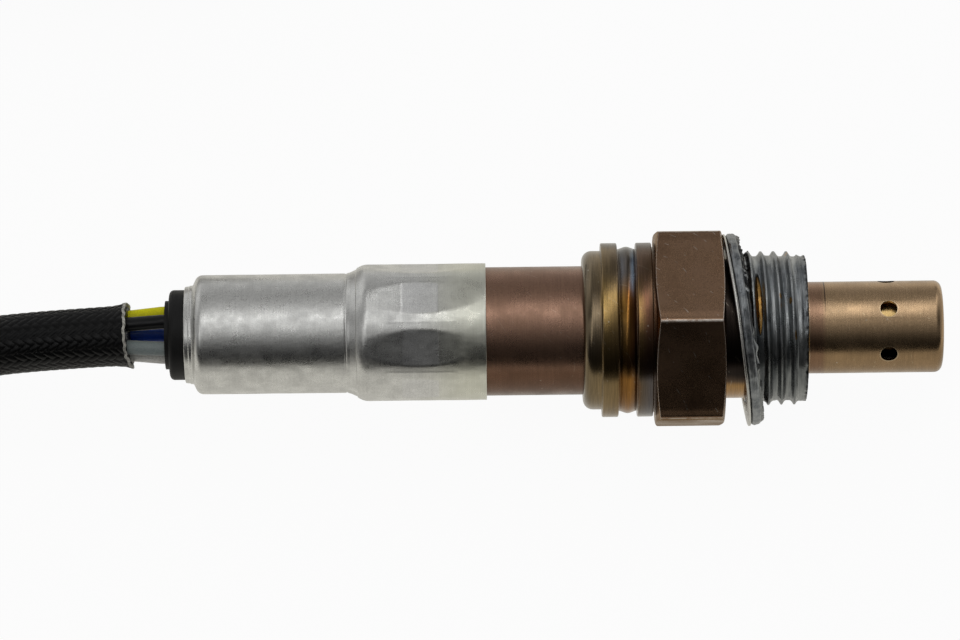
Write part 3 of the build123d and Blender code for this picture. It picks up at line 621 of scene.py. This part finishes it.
def makeHexagon():
    # each column ends where the chamfer cone meets the flat, which gives the round chamfer arcs
    half = hexagon["width"] / 2
    # columns from one corner to the next in degrees, closer by each corner
    inside = np.concatenate([np.linspace(0, 2.2, 9), np.linspace(2.2, 30, 14)[1:]])
    side = np.concatenate([inside, 60 - inside[-2:0:-1]])
    angle = np.radians(np.concatenate([60 * k + side for k in range(6)]))
    fromFlat = (angle % (pi / 3)) - pi / 6
    cornerRadius = half / cos(pi / 6) - hexagon["cornerRound"]
    fromCorner = np.clip(abs(fromFlat) - pi / 6, -hexagon["cornerSpan"], hexagon["cornerSpan"])
    rounded = cornerRadius + hexagon["cornerSwell"] * np.cos(fromCorner * hexagon["cornerBend"])
    r = np.minimum(half / np.cos(fromFlat), rounded)
    faceCircle = half - hexagon["faceInset"]
    rise = r - faceCircle
    back, ahead = rise * hexagon["rearSlope"], rise * hexagon["frontSlope"]
    rear, bore = hexagon["rear"], hexagon["bore"]
    rows = [(rear, bore), (rear, faceCircle)]
    rows += [(rear + back - (back + ahead + rear) * t, r) for t in (0, 0.02, 0.05, 0.5, 0.95, 0.98, 1)]
    rows += [(0, faceCircle), (0, bore)]
    points = np.stack([polar(x, radius, angle) for x, radius in rows])
    block = gridObject("hexagonBlock", points, hexMetal, hexagon["sharpAngle"])
    bevel = block.modifiers.new("rubbedEdges", "BEVEL")
    bevel.width, bevel.segments = hexagon["bevel"] * mm, 2
    bevel.limit_method, bevel.angle_limit = "ANGLE", radians(hexagon["sharpAngle"])
    bevel.harden_normals = True
    return block


hexMetal = metalMaterial("hexMetal", hexagon["look"], hexTint)
hexBlock = makeHexagon()


# the M18 x 1.5 thread: worn crests, run in at the gasket and tapered at the nose
thread = {
    "pitch": 1.5, "crest": 8.9, "root": 8.02, "phase": 4.356, "rootShare": 0.2, "flankShare": 0.68,
    "start": 2, "runIn": (2.1, 0.95), "nose": 9.7, "noseRound": 1.4, "seat": 5.17, "unevenness": 0.012,
    "look": lookOf((0.36, 0.2, 0.05), (0.1, 0.06, 0.03), 0.3, edgeAmount=0.1, patchSize=1.2),
}
# anti-seize paste: thick in the grooves, thin on the crests, with clumps at both ends
paste = {
    "start": 2.3, "end": 9.62, "lid": 9.66, "inside": (6.9, 6.4), "fill": 0.46, "depth": 0.88, "film": 0.055,
    "softness": 0.1, "bareAngle": 103, "bareSpan": 27, "bareX": 3.9, "bareWidth": 0.4, "bareDepth": 1.2,
    "clump": 0.28, "noseClump": 0.16, "streaks": ((0.12, 0.13, 0.14), (0.42, 0.435, 0.435)),
    "dried": (0.018, 0.019, 0.021),
    "look": lookOf((0.16, 0.17, 0.175), (0.33, 0.35, 0.355), 0.31, patchSize=1.6, patchAmount=0.8, spread=0.2,
                   metallic=0.92, relief=0.014, edgeAmount=0, lineShade=0.1, scratches=0.2, bare=(0.5, 0.5, 0.5),
                   under=(0.62, 0.62, 0.61), underFrom=7.4, underFade=1.8),
}


def threadRadius(x, angle):
    place = ((x - thread["phase"] - thread["pitch"] * angle / fullTurn) / thread["pitch"]) % 1
    form = np.clip((abs(place - 0.5) * 2 - thread["rootShare"]) / thread["flankShare"], 0, 1)
    depth = thread["crest"] - thread["root"]
    runInStart, runInLength = thread["runIn"]
    runIn = thread["root"] + depth * smooth((x - runInStart) / runInLength)
    nose = thread["crest"] - np.clip(x - (thread["nose"] - thread["noseRound"]), 0, None)
    return np.minimum(thread["root"] + depth * form, np.minimum(runIn, nose))


def closedSkin(name, outer, angle, inner, material, sharpAngle):
    # an uneven outside closed by plain rings of (x, r)
    rings = [polar(x, r, angle[None, :]) for x, r in inner]
    gridObject(name, np.concatenate([outer] + rings), material, sharpAngle)


def makeThread():
    x, angle = np.linspace(thread["start"], thread["nose"], 190)[:, None], ringAngles(240)
    r = threadRadius(x, angle)
    r += thread["unevenness"] * softNoise(polar(x, r, angle), 0.8, 2)
    inner = [(thread["nose"], thread["seat"]), (thread["start"], thread["seat"])]
    closedSkin("threadCut", polar(x, r, angle), angle, inner, threadMetal, 32)


def makePaste():
    x, angle = np.linspace(paste["start"], paste["end"], 200)[:, None], ringAngles(300)
    place = polar(x, 8.5, angle)
    lumps = ((0.4, 1.9, 11), (0.3, 0.8, 12), (0.5, 0.32, 13))
    wide, middle, fine = [softNoise(place * (1, squeeze, squeeze), size, seed) for squeeze, size, seed in lumps]
    fill = paste["fill"] + 0.2 * wide + 0.1 * middle
    level = thread["root"] + np.clip(fill, 0.02, 1) * paste["depth"]
    film = threadRadius(x, angle) + paste["film"] + 0.05 * middle + 0.012 * fine + 0.03 * wide
    softness = paste["softness"]
    r = np.maximum(level, film) + softness * np.exp(-abs(level - film) / softness)
    r += 0.012 * fine
    # a stretch of one groove near the gasket is wiped bare
    bareAngle = radians(paste["bareAngle"])
    groove = abs(x - (paste["bareX"] + thread["pitch"] * (angle - bareAngle) / fullTurn))
    fromMiddle = angleApart(angle, bareAngle) / radians(paste["bareSpan"])
    reach = np.sqrt(np.clip(1 - fromMiddle ** 2, 0, 1))
    r -= smooth((paste["bareWidth"] * reach - groove) / 0.16) * paste["bareDepth"]
    byGasket = smooth((3.6 - x) / 1)
    r += smooth((softNoise(place, 0.55, 21) - 0.25) / 0.4) * byGasket * paste["clump"]
    byNose = smooth((x - 9.1) / 0.4)
    r += byNose * paste["noseClump"] * np.clip(softNoise(place, 0.5, 23) + 0.4, 0, 1)
    r = np.where(x < 2.45, np.minimum(r, 8), r)
    wall, bore = paste["inside"]
    inner = [(paste["lid"], wall), (paste["lid"], bore), (paste["start"], bore)]
    closedSkin("threadPasteSkin", polar(x, r, angle), angle, inner, pasteMaterial, 80)


def pasteTint(tree, color):
    # smeared round the thread, and dried black in clumps by the gasket and along the nose
    place = placeParts(tree)
    smear = noise(millimetres(tree, (1.4, 0.16, 0.16)), 1, 3)
    streaked = mixColor(fade(smear, 0.36, 0.66), *paste["streaks"])
    clump = noise(millimetres(tree), 1.3, 3)
    byGasket, byNose = fade(place[0], 3.6, 2.3), fade(place[0], 9.1, 9.6)
    ends = calc("MAXIMUM", byGasket, byNose)
    dried = times(fade(plus(clump, times(ends, 0.22)), 0.56, 0.68), ends)
    return mixColor(dried, mixColor(0.75, color, streaked), paste["dried"])


threadMetal = metalMaterial("threadMetal", thread["look"])
pasteMaterial = metalMaterial("threadPaste", paste["look"], pasteTint)
makeThread()
makePaste()
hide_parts("hex_body")
print("shell ready")


# the loose folded gasket, leaning on the hexagon at its top: a plate, a bead and smeared paste
gasket = {
    "rim": 11.3, "tilt": 7.2, "lean": 34.5, "sway": -0.45, "segments": 300,
    "plate": {
        "rear": [(0, 9.5), (0, 11.28, 0.1)],
        "front": [(0.27, 11.28, 0.1), (0.3, 10.2)],
        "fold": [(0.5, 10.2), (0.5, 9.45), (0.2, 9.45)],
    },
    "bead": {
        "rear": [(0.38, 9.5), (0.38, 11.1, 0.25), (0.7, 11.28, 0.25)],
        "front": [(1.35, 11.18, 0.35), (1.62, 10.7, 0.3), (1.62, 9.8, 0.3), (1.5, 9.45)],
    },
    "smear": {
        "rear": [(1.3, 9.5), (1.3, 11), (1.45, 11.02), (1.55, 10.9)],
        "front": [(1.56, r / 10) for r in range(107, 94, -2)],
    },
    "smearSegments": 360, "smearDepth": 0.16, "smearLumps": 0.22,
    "plateLook": lookOf((0.56, 0.55, 0.51), (0.4, 0.4, 0.39), 0.3, lineShade=0.1, bare=(0.8, 0.79, 0.75),
                        edgeAmount=0.8),
    "beadLook": lookOf((0.15, 0.16, 0.17), (0.33, 0.345, 0.35), 0.36, lineShade=0.15, patchSize=1.1,
                       patchAmount=0.9, spread=0.25, grainSize=0.2, relief=0.03, bare=(0.55, 0.56, 0.55),
                       edgeAmount=0.3),
}


def gasketSeat():
    tilt, lean = radians(gasket["tilt"]), radians(gasket["lean"])
    axis = Vector((0, -sin(lean), cos(lean)))
    reach = gasket["rim"] * sqrt(1 - (sin(tilt) * sin(lean)) ** 2)
    shift = Vector((gasket["rim"] * sin(tilt) + slip, gasket["sway"], floorHeight + reach + slip))
    return np.array(Matrix.Rotation(tilt, 3, axis)), np.array(shift)


def plateWander(x, r, angle):
    place = polar(x, r, angle)
    return x + 0.03 * softNoise(place, 5, 31), r + 0.02 * softNoise(place, 4, 32)


def beadWander(x, r, angle):
    place = polar(x, r, angle)
    onFront = smooth((x - 1) / 0.4)
    return (x + 0.05 * softNoise(place, 1.2, 34) * onFront,
            r + 0.05 * softNoise(place, 1, 35) + 0.03 * softNoise(place, 0.35, 36))


def smearWander(x, r, angle):
    place = polar(x, r, angle)
    lump = softNoise(place, 0.8, 41) + 0.6 * softNoise(place, 0.35, 42)
    thick = np.clip(gasket["smearDepth"] + gasket["smearLumps"] * lump, -0.1, 0.6)
    return x + smooth((x - 1.45) / 0.1) * thick, r


def makeGasketPart(name, part, material, segments, wander, sharpAngle):
    return turnedObject(name, roundCorners(gasket[part]), material, segments, wander, sharpAngle, gasketSeat())


gasketMetal = metalMaterial("gasketMetal", gasket["plateLook"])
beadMetal = metalMaterial("beadMetal", gasket["beadLook"])
gasketPlate = makeGasketPart("gasketPlate", "plate", gasketMetal, gasket["segments"], plateWander, 30)
makeGasketPart("gasketBead", "bead", beadMetal, gasket["segments"], beadWander, 30)
makeGasketPart("gasketPaste", "smear", pasteMaterial, gasket["smearSegments"], smearWander, 80)
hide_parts("gasket")
print("gasket ready")


# the plated rear cover: stepped can, flare with its bead, eight flat crimp pads in long dents
cover = {
    "outline": {
        "mouth": [(-27.6, 7.52), (-27.6, 7.97, 0.06)],
        "shoulder": [(-41.9, 7.97, 2), (-42.62, 7.56, 0.04), (-42.7, 7.4, 0.04)],
        "bead": [(-43.4, 7.08, 0.3), (-43.72, 7, 0.1), (-43.82, 6.92, 0.04), (-43.95, 6.92, 0.04),
                 (-44.05, 6.97, 0.06)],
        "rearFold": [(-61.2, 6.95, 0.95), (-61.75, 5.76, 0.2), (-62.1, 5.74, 0.1), (-62.2, 5.66, 0.05),
                     (-62.7, 5.62, 0.14)],
        "inside": [(-62.7, 5.28), (-61.3, 5.28), (-61.3, 6.5), (-43.6, 6.5), (-41.7, 7.52)],
    },
    "segments": 376, "wideRow": 0.12, "narrowRow": 0.6, "wide": 7.97,
    "pads": 8, "padX": -35.25, "padSize": 4.25, "padDepth": 0.29, "padStep": 0.02, "padAngle": 93,
    "dentLength": 12.5, "ridge": 0.018, "front": (0.62, 0.62, 0.52),
    "struck": ((0.52, 0.52, 0.52), (0.74, 0.74, 0.735)),
    "look": lookOf((0.64, 0.64, 0.62), (0.515, 0.515, 0.5), 0.32, spread=0.2, patchSize=1.8, bare=(0.8, 0.8, 0.78),
                   grainSize=0.14, lineShade=0.04, relief=0.009, edgeAmount=0.4, scratches=0.25),
}


def onPads(tree):
    # the struck squares lie closer to the axis than the rest of the can
    place = placeParts(tree)
    away = calc("ABSOLUTE", plus(place[0], -cover["padX"]))
    low = fade(fromAxis(place), 7.95, 7.9)
    return times(fade(away, 2.16, 2.08), low)


def coverTint(tree, color):
    # the front of the plated cover is a little greener, and the struck pads are duller
    green = mixColor(fade(placeParts(tree)[0], -37, -29, 0, 0.75), color, cover["front"])
    hatch = noise(millimetres(tree), 9, 1)
    dull = mixColor(fade(hatch, 0.35, 0.65), *cover["struck"])
    return mixColor(times(onPads(tree), 0.6), green, dull)


def coverWander(x, r, angle):
    away = abs(x - cover["padX"])
    sagRadius = (cover["dentLength"] / 2) ** 2 / (2 * cover["padDepth"])
    sag = sagRadius - np.sqrt(np.clip(sagRadius ** 2 - away ** 2, 0, None))
    onPad = smooth((cover["padSize"] / 2 + 0.06 - away) / 0.12)
    flat = cover["wide"] - cover["padDepth"] + np.clip(sag, 0, 9) - cover["padStep"] * onPad
    pitch = fullTurn / cover["pads"]
    turn = (angle - radians(cover["padAngle"]) + pitch / 2) % pitch - pitch / 2
    plane = flat / np.cos(turn)
    # the plane and the can meet in a soft edge, sharpest round the pad
    soft = 0.035 + 0.02 * np.clip(away - 2.2, 0, 4)
    blend = np.clip(0.5 + 0.5 * (r - plane) / soft, 0, 1)
    cut = r * (1 - blend) + plane * blend - soft * blend * (1 - blend)
    outside = r > 7.9
    change = np.where(outside, np.minimum(cut, r) - r, 0)
    ridge = np.exp(-((abs(turn) - pitch / 2) * 8 / 0.12) ** 2) * smooth((4.4 - away) / 0.8)
    place = polar(x, r, angle)
    wobble = 0.01 * softNoise(place, 2.2, 51) + 0.006 * softNoise(place * (1, 2, 2), 1, 52)
    return x, r + (change + outside * (cover["ridge"] * ridge) + (r > 5.4) * wobble * (x > -61))


def coverProfile():
    # close rows on the two long cylinders, so that the dents have something to bend
    outline = roundCorners(cover["outline"])
    dense = [outline[0]]
    for here in outline[1:]:
        last = dense[-1]
        onOutside = last[1] > 6.9 and here[1] > 6.9
        row = cover["wideRow"] if last[0] > -42 else cover["narrowRow"]
        steps = max(1, int(abs(here[0] - last[0]) / row)) if onOutside else 1
        dense += [last + (here - last) * (k + 1) / steps for k in range(steps)]
    return np.array(dense)


coverMetal = metalMaterial("coverMetal", cover["look"], coverTint, rougher=onPads)
coverCan = turnedObject("coverCan", coverProfile(), coverMetal, cover["segments"], coverWander)
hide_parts("outer_cover")
print("cover ready")


# the tubes that the CAD model already shapes
protector = {
    # the last colour on the next line is painted shade, low on the inner tube
    "noseStain": (0.24, 0.12, 0.09), "seamX": 11.75, "seam": (0.05, 0.035, 0.03), "paintedShade": (0.03, 0.018, 0.008),
    "look": lookOf((0.47, 0.32, 0.185), (0.4, 0.275, 0.165), 0.25, lineShade=0.1, bare=(0.8, 0.66, 0.45),
                   edgeAmount=0.6, lineWidth=0.06, under=(0.62, 0.6, 0.56), underFade=2.6, specks=0.5),
    "inner": {"color": (0.6, 0.42, 0.18), "patch": (0.5, 0.34, 0.14), "under": (1, 1, 1)},
}
brownLook = lookOf((0.28, 0.165, 0.115), (0.225, 0.135, 0.09), 0.3, lineShade=0.08, metallic=0.95, edgeAmount=0.3,
                   bare=(0.45, 0.34, 0.27), under=(0.5, 0.46, 0.42), underFade=2.6, specks=0.3)
contactLook = lookOf((0.72, 0.66, 0.52), (0.62, 0.56, 0.44), 0.28, scratches=0.2)


def protectorTint(tree, color):
    place = placeParts(tree)
    nearNose = fade(place[0], 12, 11.2)
    stained = mixColor(times(nearNose, 0.55), color, protector["noseStain"])
    step = calc("ABSOLUTE", minus(place[0], protector["seamX"]))
    seam = times(fade(step, 0.09, 0.05), fade(place[1], -2.2, 1))
    return mixColor(times(seam, 0.85), stained, protector["seam"])


def innerTint(tree, color):
    # the inner tube is golden where light reaches it, and painted shade makes it dark low down
    return mixColor(fade(placeParts(tree)[2], 3.4, 2), color, protector["paintedShade"])


brownMetal = metalMaterial("brownMetal", brownLook)
bronzeMetal = metalMaterial("bronzeMetal", protector["look"], protectorTint)
innerBronze = metalMaterial("innerBronze", {**protector["look"], **protector["inner"]}, innerTint)
contactMetal = metalMaterial("contactMetal", contactLook)
print("metals ready")


# moulded, woven and ceramic finishes, by colour, patch colour and roughness
plainLooks = {
    "blackRubber": lookOf((0.006, 0.006, 0.006), (0.012, 0.012, 0.012), 0.5, relief=0.02, grainSize=0.12,
                          specular=0.22),
    "blackPlastic": lookOf((0.014, 0.014, 0.015), (0.02, 0.02, 0.021), 0.42, relief=0.012, grainSize=0.1),
    "greyPlastic": lookOf((0.1, 0.105, 0.11), (0.085, 0.09, 0.095), 0.45),
    "blueLock": lookOf((0.02, 0.09, 0.3), (0.02, 0.075, 0.25), 0.4),
    "redSeal": lookOf((0.42, 0.05, 0.02), (0.34, 0.04, 0.018), 0.5, relief=0.008),
    "tieNylon": lookOf((0.02, 0.02, 0.021), (0.03, 0.03, 0.03), 0.35, relief=0.006),
    "whiteCeramic": lookOf((0.74, 0.72, 0.67), (0.64, 0.61, 0.56), 0.6),
    "talcPowder": lookOf((0.55, 0.56, 0.52), (0.45, 0.46, 0.42), 0.85, relief=0.03),
    "cutLining": lookOf((0.66, 0.64, 0.57), (0.16, 0.155, 0.14), 0.7, patchSize=0.5, patchAmount=0.8, relief=0.03),
    "zirconia": lookOf((0.66, 0.64, 0.58), (0.4, 0.36, 0.32), 0.5, relief=0.008),
}
# the wires' insulation: colour, patch colour, roughness and specular
insulation = {
    "yellow": ((0.86, 0.8, 0.002), (0.78, 0.72, 0.002), 0.42, 0.2),
    "black": ((0.004, 0.004, 0.005), (0.008, 0.008, 0.009), 0.35, 0.25),
    "blue": ((0.001, 0.032, 0.26), (0.001, 0.035, 0.34), 0.4, 0.25),
    "grey": ((0.26, 0.3, 0.295), (0.22, 0.26, 0.255), 0.45, 0.3),
    "white": ((0.92, 0.9, 0.84), (0.82, 0.79, 0.72), 0.45, 0.5),
}
for color, (*look, specular) in insulation.items():
    plainLooks[f"{color}Insulation"] = lookOf(*look, specular=specular, relief=0.004)
plain = {name: plainMaterial(name, look) for name, look in plainLooks.items()}
print("plain finishes ready")


# the braided lead: from the cut mouth down to the surface, round the coil and back to the connector
lead = {
    "diameter": 7, "length": 0.62, "coil": (-142.2, 36), "outer": 36, "inner": 29, "upper": 32.5,
    "floor": -7.3, "top": -1.24, "turns": 2.5, "perTurn": 14,
    "start": [(-69, 0, 0), (-79, 0, -0.7), (-90, 0, -2.75), (-100, 0, -5.35), (-110.5, 0, -7.5),
              (-119, 0, -7.5)],
    "end": [(-128, 68.7, -2.2), (-113, 69, -3.3), (-103, 69.1, -4)],
}
braid = {
    "carriers": 24, "pitch": 27, "relief": 0.13, "detailed": 36, "row": 0.12, "segments": 300, "flare": 0.38,
    # radius and distance of each ring of the lining that shows at the cut mouth
    "lining": [(3.86, 0.14), (3.89, -0.04), (3.8, -0.17), (3.55, -0.12), (3.3, 0.3), (3.06, 1.2), (3.03, 3),
               (3.18, 3), (3.28, 1.2), (3.46, 0.5), (3.6, 0.2)],
    "look": lookOf((0.0022, 0.0023, 0.0025), (0.004, 0.004, 0.0042), 0.34, grainSize=0.08, patchSize=5,
                   specular=0.17),
    "wovenLook": {"relief": 0.1, "patchAmount": 0.6, "spread": 0.2}, "fineLook": {"relief": 0.008},
}


def coilPoints():
    # control points round the coil, a little outside the turns so that the smooth line keeps their radius
    points = []
    middleX, middleY = lead["coil"]
    for k in range(1, int(lead["turns"] * lead["perTurn"])):
        turn = k / lead["perTurn"]
        # the outer turn, a step inwards, the inner turn, then a climb onto both
        inwards = np.clip((turn - 0.8) / 0.2, 0, 1)
        climb = np.clip((turn - 1.86) / 0.24, 0, 1)
        radius = lead["outer"] - inwards * (lead["outer"] - lead["inner"])
        radius = (radius + (lead["upper"] - lead["inner"]) * climb) / cos(pi / lead["perTurn"])
        height = lead["floor"] + (lead["top"] - lead["floor"]) * climb
        phi = fullTurn * turn
        points.append((middleX - radius * sin(phi), middleY - radius * cos(phi), height))
    return points + [(middleX, middleY + lead["upper"], lead["top"])]


def routeOfLead():
    # points along the smooth line, and how far along it each lies
    points = lead["start"] + coilPoints() + lead["end"]
    curve = bpy.data.curves.new("leadLine", "CURVE")
    curve.dimensions = "3D"
    spline = curve.splines.new("NURBS")
    spline.points.add(len(points) - 1)
    for point, place in zip(spline.points, points):
        point.co = (*[c * mm for c in place], 1)
    spline.order_u, spline.use_endpoint_u, spline.resolution_u = 3, True, 10
    obj = addObject("leadLine", curve)
    line = bpy.data.meshes.new_from_object(obj)
    places = np.array([v.co[:] for v in line.vertices]) / mm
    bpy.data.objects.remove(obj)
    bpy.data.meshes.remove(line)
    return places, np.concatenate([[0], np.cumsum(np.linalg.norm(np.diff(places, axis=0), axis=1))])


leadLine, leadRun = routeOfLead()
print("lead length, mm:", round(leadRun[-1], 1))


def leadPlaces(distances):
    return np.stack([np.interp(distances, leadRun, leadLine[:, i]) for i in range(3)], 1)


def aroundLead(distances, angle):
    # the lead's middle line, with the directions out of it and along it at each distance and angle
    heading = leadPlaces(distances + 1.5) - leadPlaces(distances - 1.5)
    heading /= np.linalg.norm(heading, axis=1)[:, None]
    upward = np.array([0, 0, 1]) - heading * heading[:, 2:3]
    upward /= np.linalg.norm(upward, axis=1)[:, None]
    side = np.cross(upward, heading)
    heading, side, upward = [direction[:, None, :] for direction in (np.cross(side, upward), side, upward)]
    out = side * np.cos(angle)[:, None] + upward * np.sin(angle)[:, None]
    return leadPlaces(distances)[:, None, :], out, heading


def weavePlaces(distances, angle):
    # counted in carriers, along and round the sleeve
    return distances / braid["pitch"] * braid["carriers"], angle / fullTurn * braid["carriers"]


def braidHeight(distances, angle):
    # two sets of flat carriers, each over two and under two, with four yarns in each
    along, around = weavePlaces(distances, angle)
    u, v = around + along, around - along
    count = np.floor(u) + np.floor(v)
    over = count % 4 < 2
    fromMiddle = np.where(over, abs(u % 1 - 0.5), abs(v % 1 - 0.5)) * 2
    place = (np.where(over, count, count + 2) % 2 + np.where(over, v, u) % 1) / 2
    arch = np.sqrt(np.clip(np.sin(pi * place), 0, 1))
    yarns = 0.1 * np.cos(np.where(over, u, v) * fullTurn * 4)
    body = 1 - fromMiddle ** 4
    return np.clip(body * (0.35 + 0.65 * arch) + yarns * body, 0, 1.2)


def makeBraidMaterial(name, look):
    # the same weave as bump, read from each point's distance along and round the sleeve
    look = {**plainDefaults, **look}
    material, tree, shader, grain = grainedMaterial(name, look)
    along, around = partsOf(addNode(tree, "Attribute", attribute_name="weave").outputs["Vector"])[:2]
    u, v = plus(around, along), minus(around, along)
    count = plus(calc("FLOOR", u), calc("FLOOR", v))
    over = calc("LESS_THAN", calc("FLOORED_MODULO", count, 4), 1.5)

    def ridge(value):
        away = calc("ABSOLUTE", minus(calc("FRACT", value), 0.5))
        return minus(1, calc("POWER", times(away, 2), 3))

    ridges = valueNode("Mix", {0: over, 2: ridge(v), 3: ridge(u)}, data_type="FLOAT")[0]
    yarn = valueNode("Mix", {0: over, 2: v, 3: u}, data_type="FLOAT")[0]
    lines = calc("SINE", times(yarn, 4 * fullTurn))
    # painted shade: the colour darkens in the hollows between carriers and between yarns
    color = multiplyColor(grain["Color"], fade(ridges, 0.2, 1, 0.35, 1.15))
    color = multiplyColor(color, calc("MULTIPLY_ADD", lines, 0.12, 1))
    height = plus(ridges, times(lines, 0.12))
    height = plus(height, times(grain["Height"], 0.3))
    finishShader(shader, look, color, grain["Roughness"], height)
    return material


def openTube(name, points, material):
    # the seam's points stay apart, so that the weave runs round without a jump; a disc closes each end
    rows, columns = points.shape[:2]
    first = range(columns - 1)
    faces = gridFaces(points, True, True) + [first[::-1], [(rows - 1) * columns + c for c in first]]
    return finishObject(addMesh(name, points, faces), material, 50)


def makeSleeve():
    # the whole tube, smooth in shape, with its weave in the finish; its first stretch stands under the fine braid
    distances = np.concatenate([[0.3, 0.6], np.arange(1, leadRun[-1], 1), [leadRun[-1]]])
    angle = np.linspace(0, fullTurn, 49)
    under = smooth((braid["detailed"] - 0.6 - distances) / 0.3)
    radius = lead["diameter"] / 2 - 0.2 * under
    middle, out, heading = aroundLead(distances, angle)
    obj = openTube("leadSleeve", middle + out * radius[:, None, None], braidMaterial)
    places = np.stack(np.broadcast_arrays(*weavePlaces(distances[:, None], angle), 0), -1)
    obj.data.attributes.new("weave", "FLOAT_VECTOR", "POINT").data.foreach_set("vector", places.ravel())
    return obj


def makeFineBraid():
    # the seen stretch, with every carrier as relief, flared and ragged where it was cut
    full = lead["diameter"] / 2
    distances = np.arange(0, braid["detailed"], braid["row"])
    run, angle = distances[:, None], ringAngles(braid["segments"])
    rim = polar(0, full, angle)
    ragged = 0.24 * softNoise(rim, 1.6, 61) + 0.18 * softNoise(rim, 0.5, 62)
    # cut a little askew: furthest towards the sensor low down, least on the side that faces up
    low = angle + radians(34.5)
    askew = 0.1 * np.cos(low) - 0.28 - 0.27 * np.clip(np.sin(low), -0.3, 1)
    shift = -(ragged + askew) * smooth((3 - run) / 3)
    sag = 0.05 * softNoise(polar(run * 0.4, 3, angle), 2.2, 63) * smooth((braid["detailed"] - run) / 5)
    radius = full - braid["relief"] * (1 - braidHeight(run, angle)) + braid["flare"] * np.exp(-run) + sag
    middle, out, heading = aroundLead(distances, angle)

    def atMouth(r, inwards):
        return middle[0] + out[0] * r + heading[0] * (shift[0][:, None] + inwards)

    # the braid ends on the sleeve under it at both ends
    skin = middle + out * radius[..., None] + heading * shift[..., None]
    rows = np.concatenate([atMouth(3.3, 0)[None], skin, (middle[-1] + out[-1] * 3.2)[None]])
    obj = gridObject("leadBraid", rows, fineBraidMaterial, 60, openRows=True)
    rings = np.stack([atMouth(r, inwards) for r, inwards in braid["lining"]])
    return obj, gridObject("sleeveLining", rings, plain["cutLining"], 60)


braidMaterial = makeBraidMaterial("blackBraid", {**braid["look"], **braid["wovenLook"]})
fineBraidMaterial = plainMaterial("fineBraid", {**braid["look"], **braid["fineLook"]})
leadCore = makeSleeve()
leadBraid, sleeveLining = makeFineBraid()
print("lead ready")


# what each CAD node wears
wornBy = {
    shellMetal: "hex_body", gasketMetal: "gasket", coverMetal: "outer_cover element_cup packing_ring",
    braidMaterial: "lead_sleeve lead_coil lead_tail", bronzeMetal: "outer_protector",
    innerBronze: "inner_protector", brownMetal: "inner_cover", contactMetal: "contact_clip",
    plain["zirconia"]: "sensing_element",
    plain["whiteCeramic"]: "ceramic_holder ceramic_sleeve wire_guide contact_holder",
    plain["talcPowder"]: "talc_packing", plain["blackRubber"]: "grommet", plain["tieNylon"]: "coil_tie",
    plain["blackPlastic"]: "connector_housing", plain["greyPlastic"]: "connector_rear_cap",
    plain["redSeal"]: "mat_seal front_seal", plain["blueLock"]: "front_lock",
}
for color in insulation:
    wornBy[contactMetal] += f" contact_{color} terminal_{color}"
    wornBy[plain[f"{color}Insulation"]] = f"wire_{color} plug_wire_{color}"
for material, names in wornBy.items():
    for name in names.split():
        setMaterial(nodes[name], material)

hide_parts("lead_sleeve", "lead_coil", "lead_tail")
onLead = "coil_tie connector_housing connector_rear_cap mat_seal front_seal front_lock"
onLead = [nodes[name] for name in onLead.split()] + [leadBraid, sleeveLining]
onLead += [nodes[f"{kind}_{color}"] for kind in ("plug_wire", "terminal") for color in insulation]
print("finishes ready")
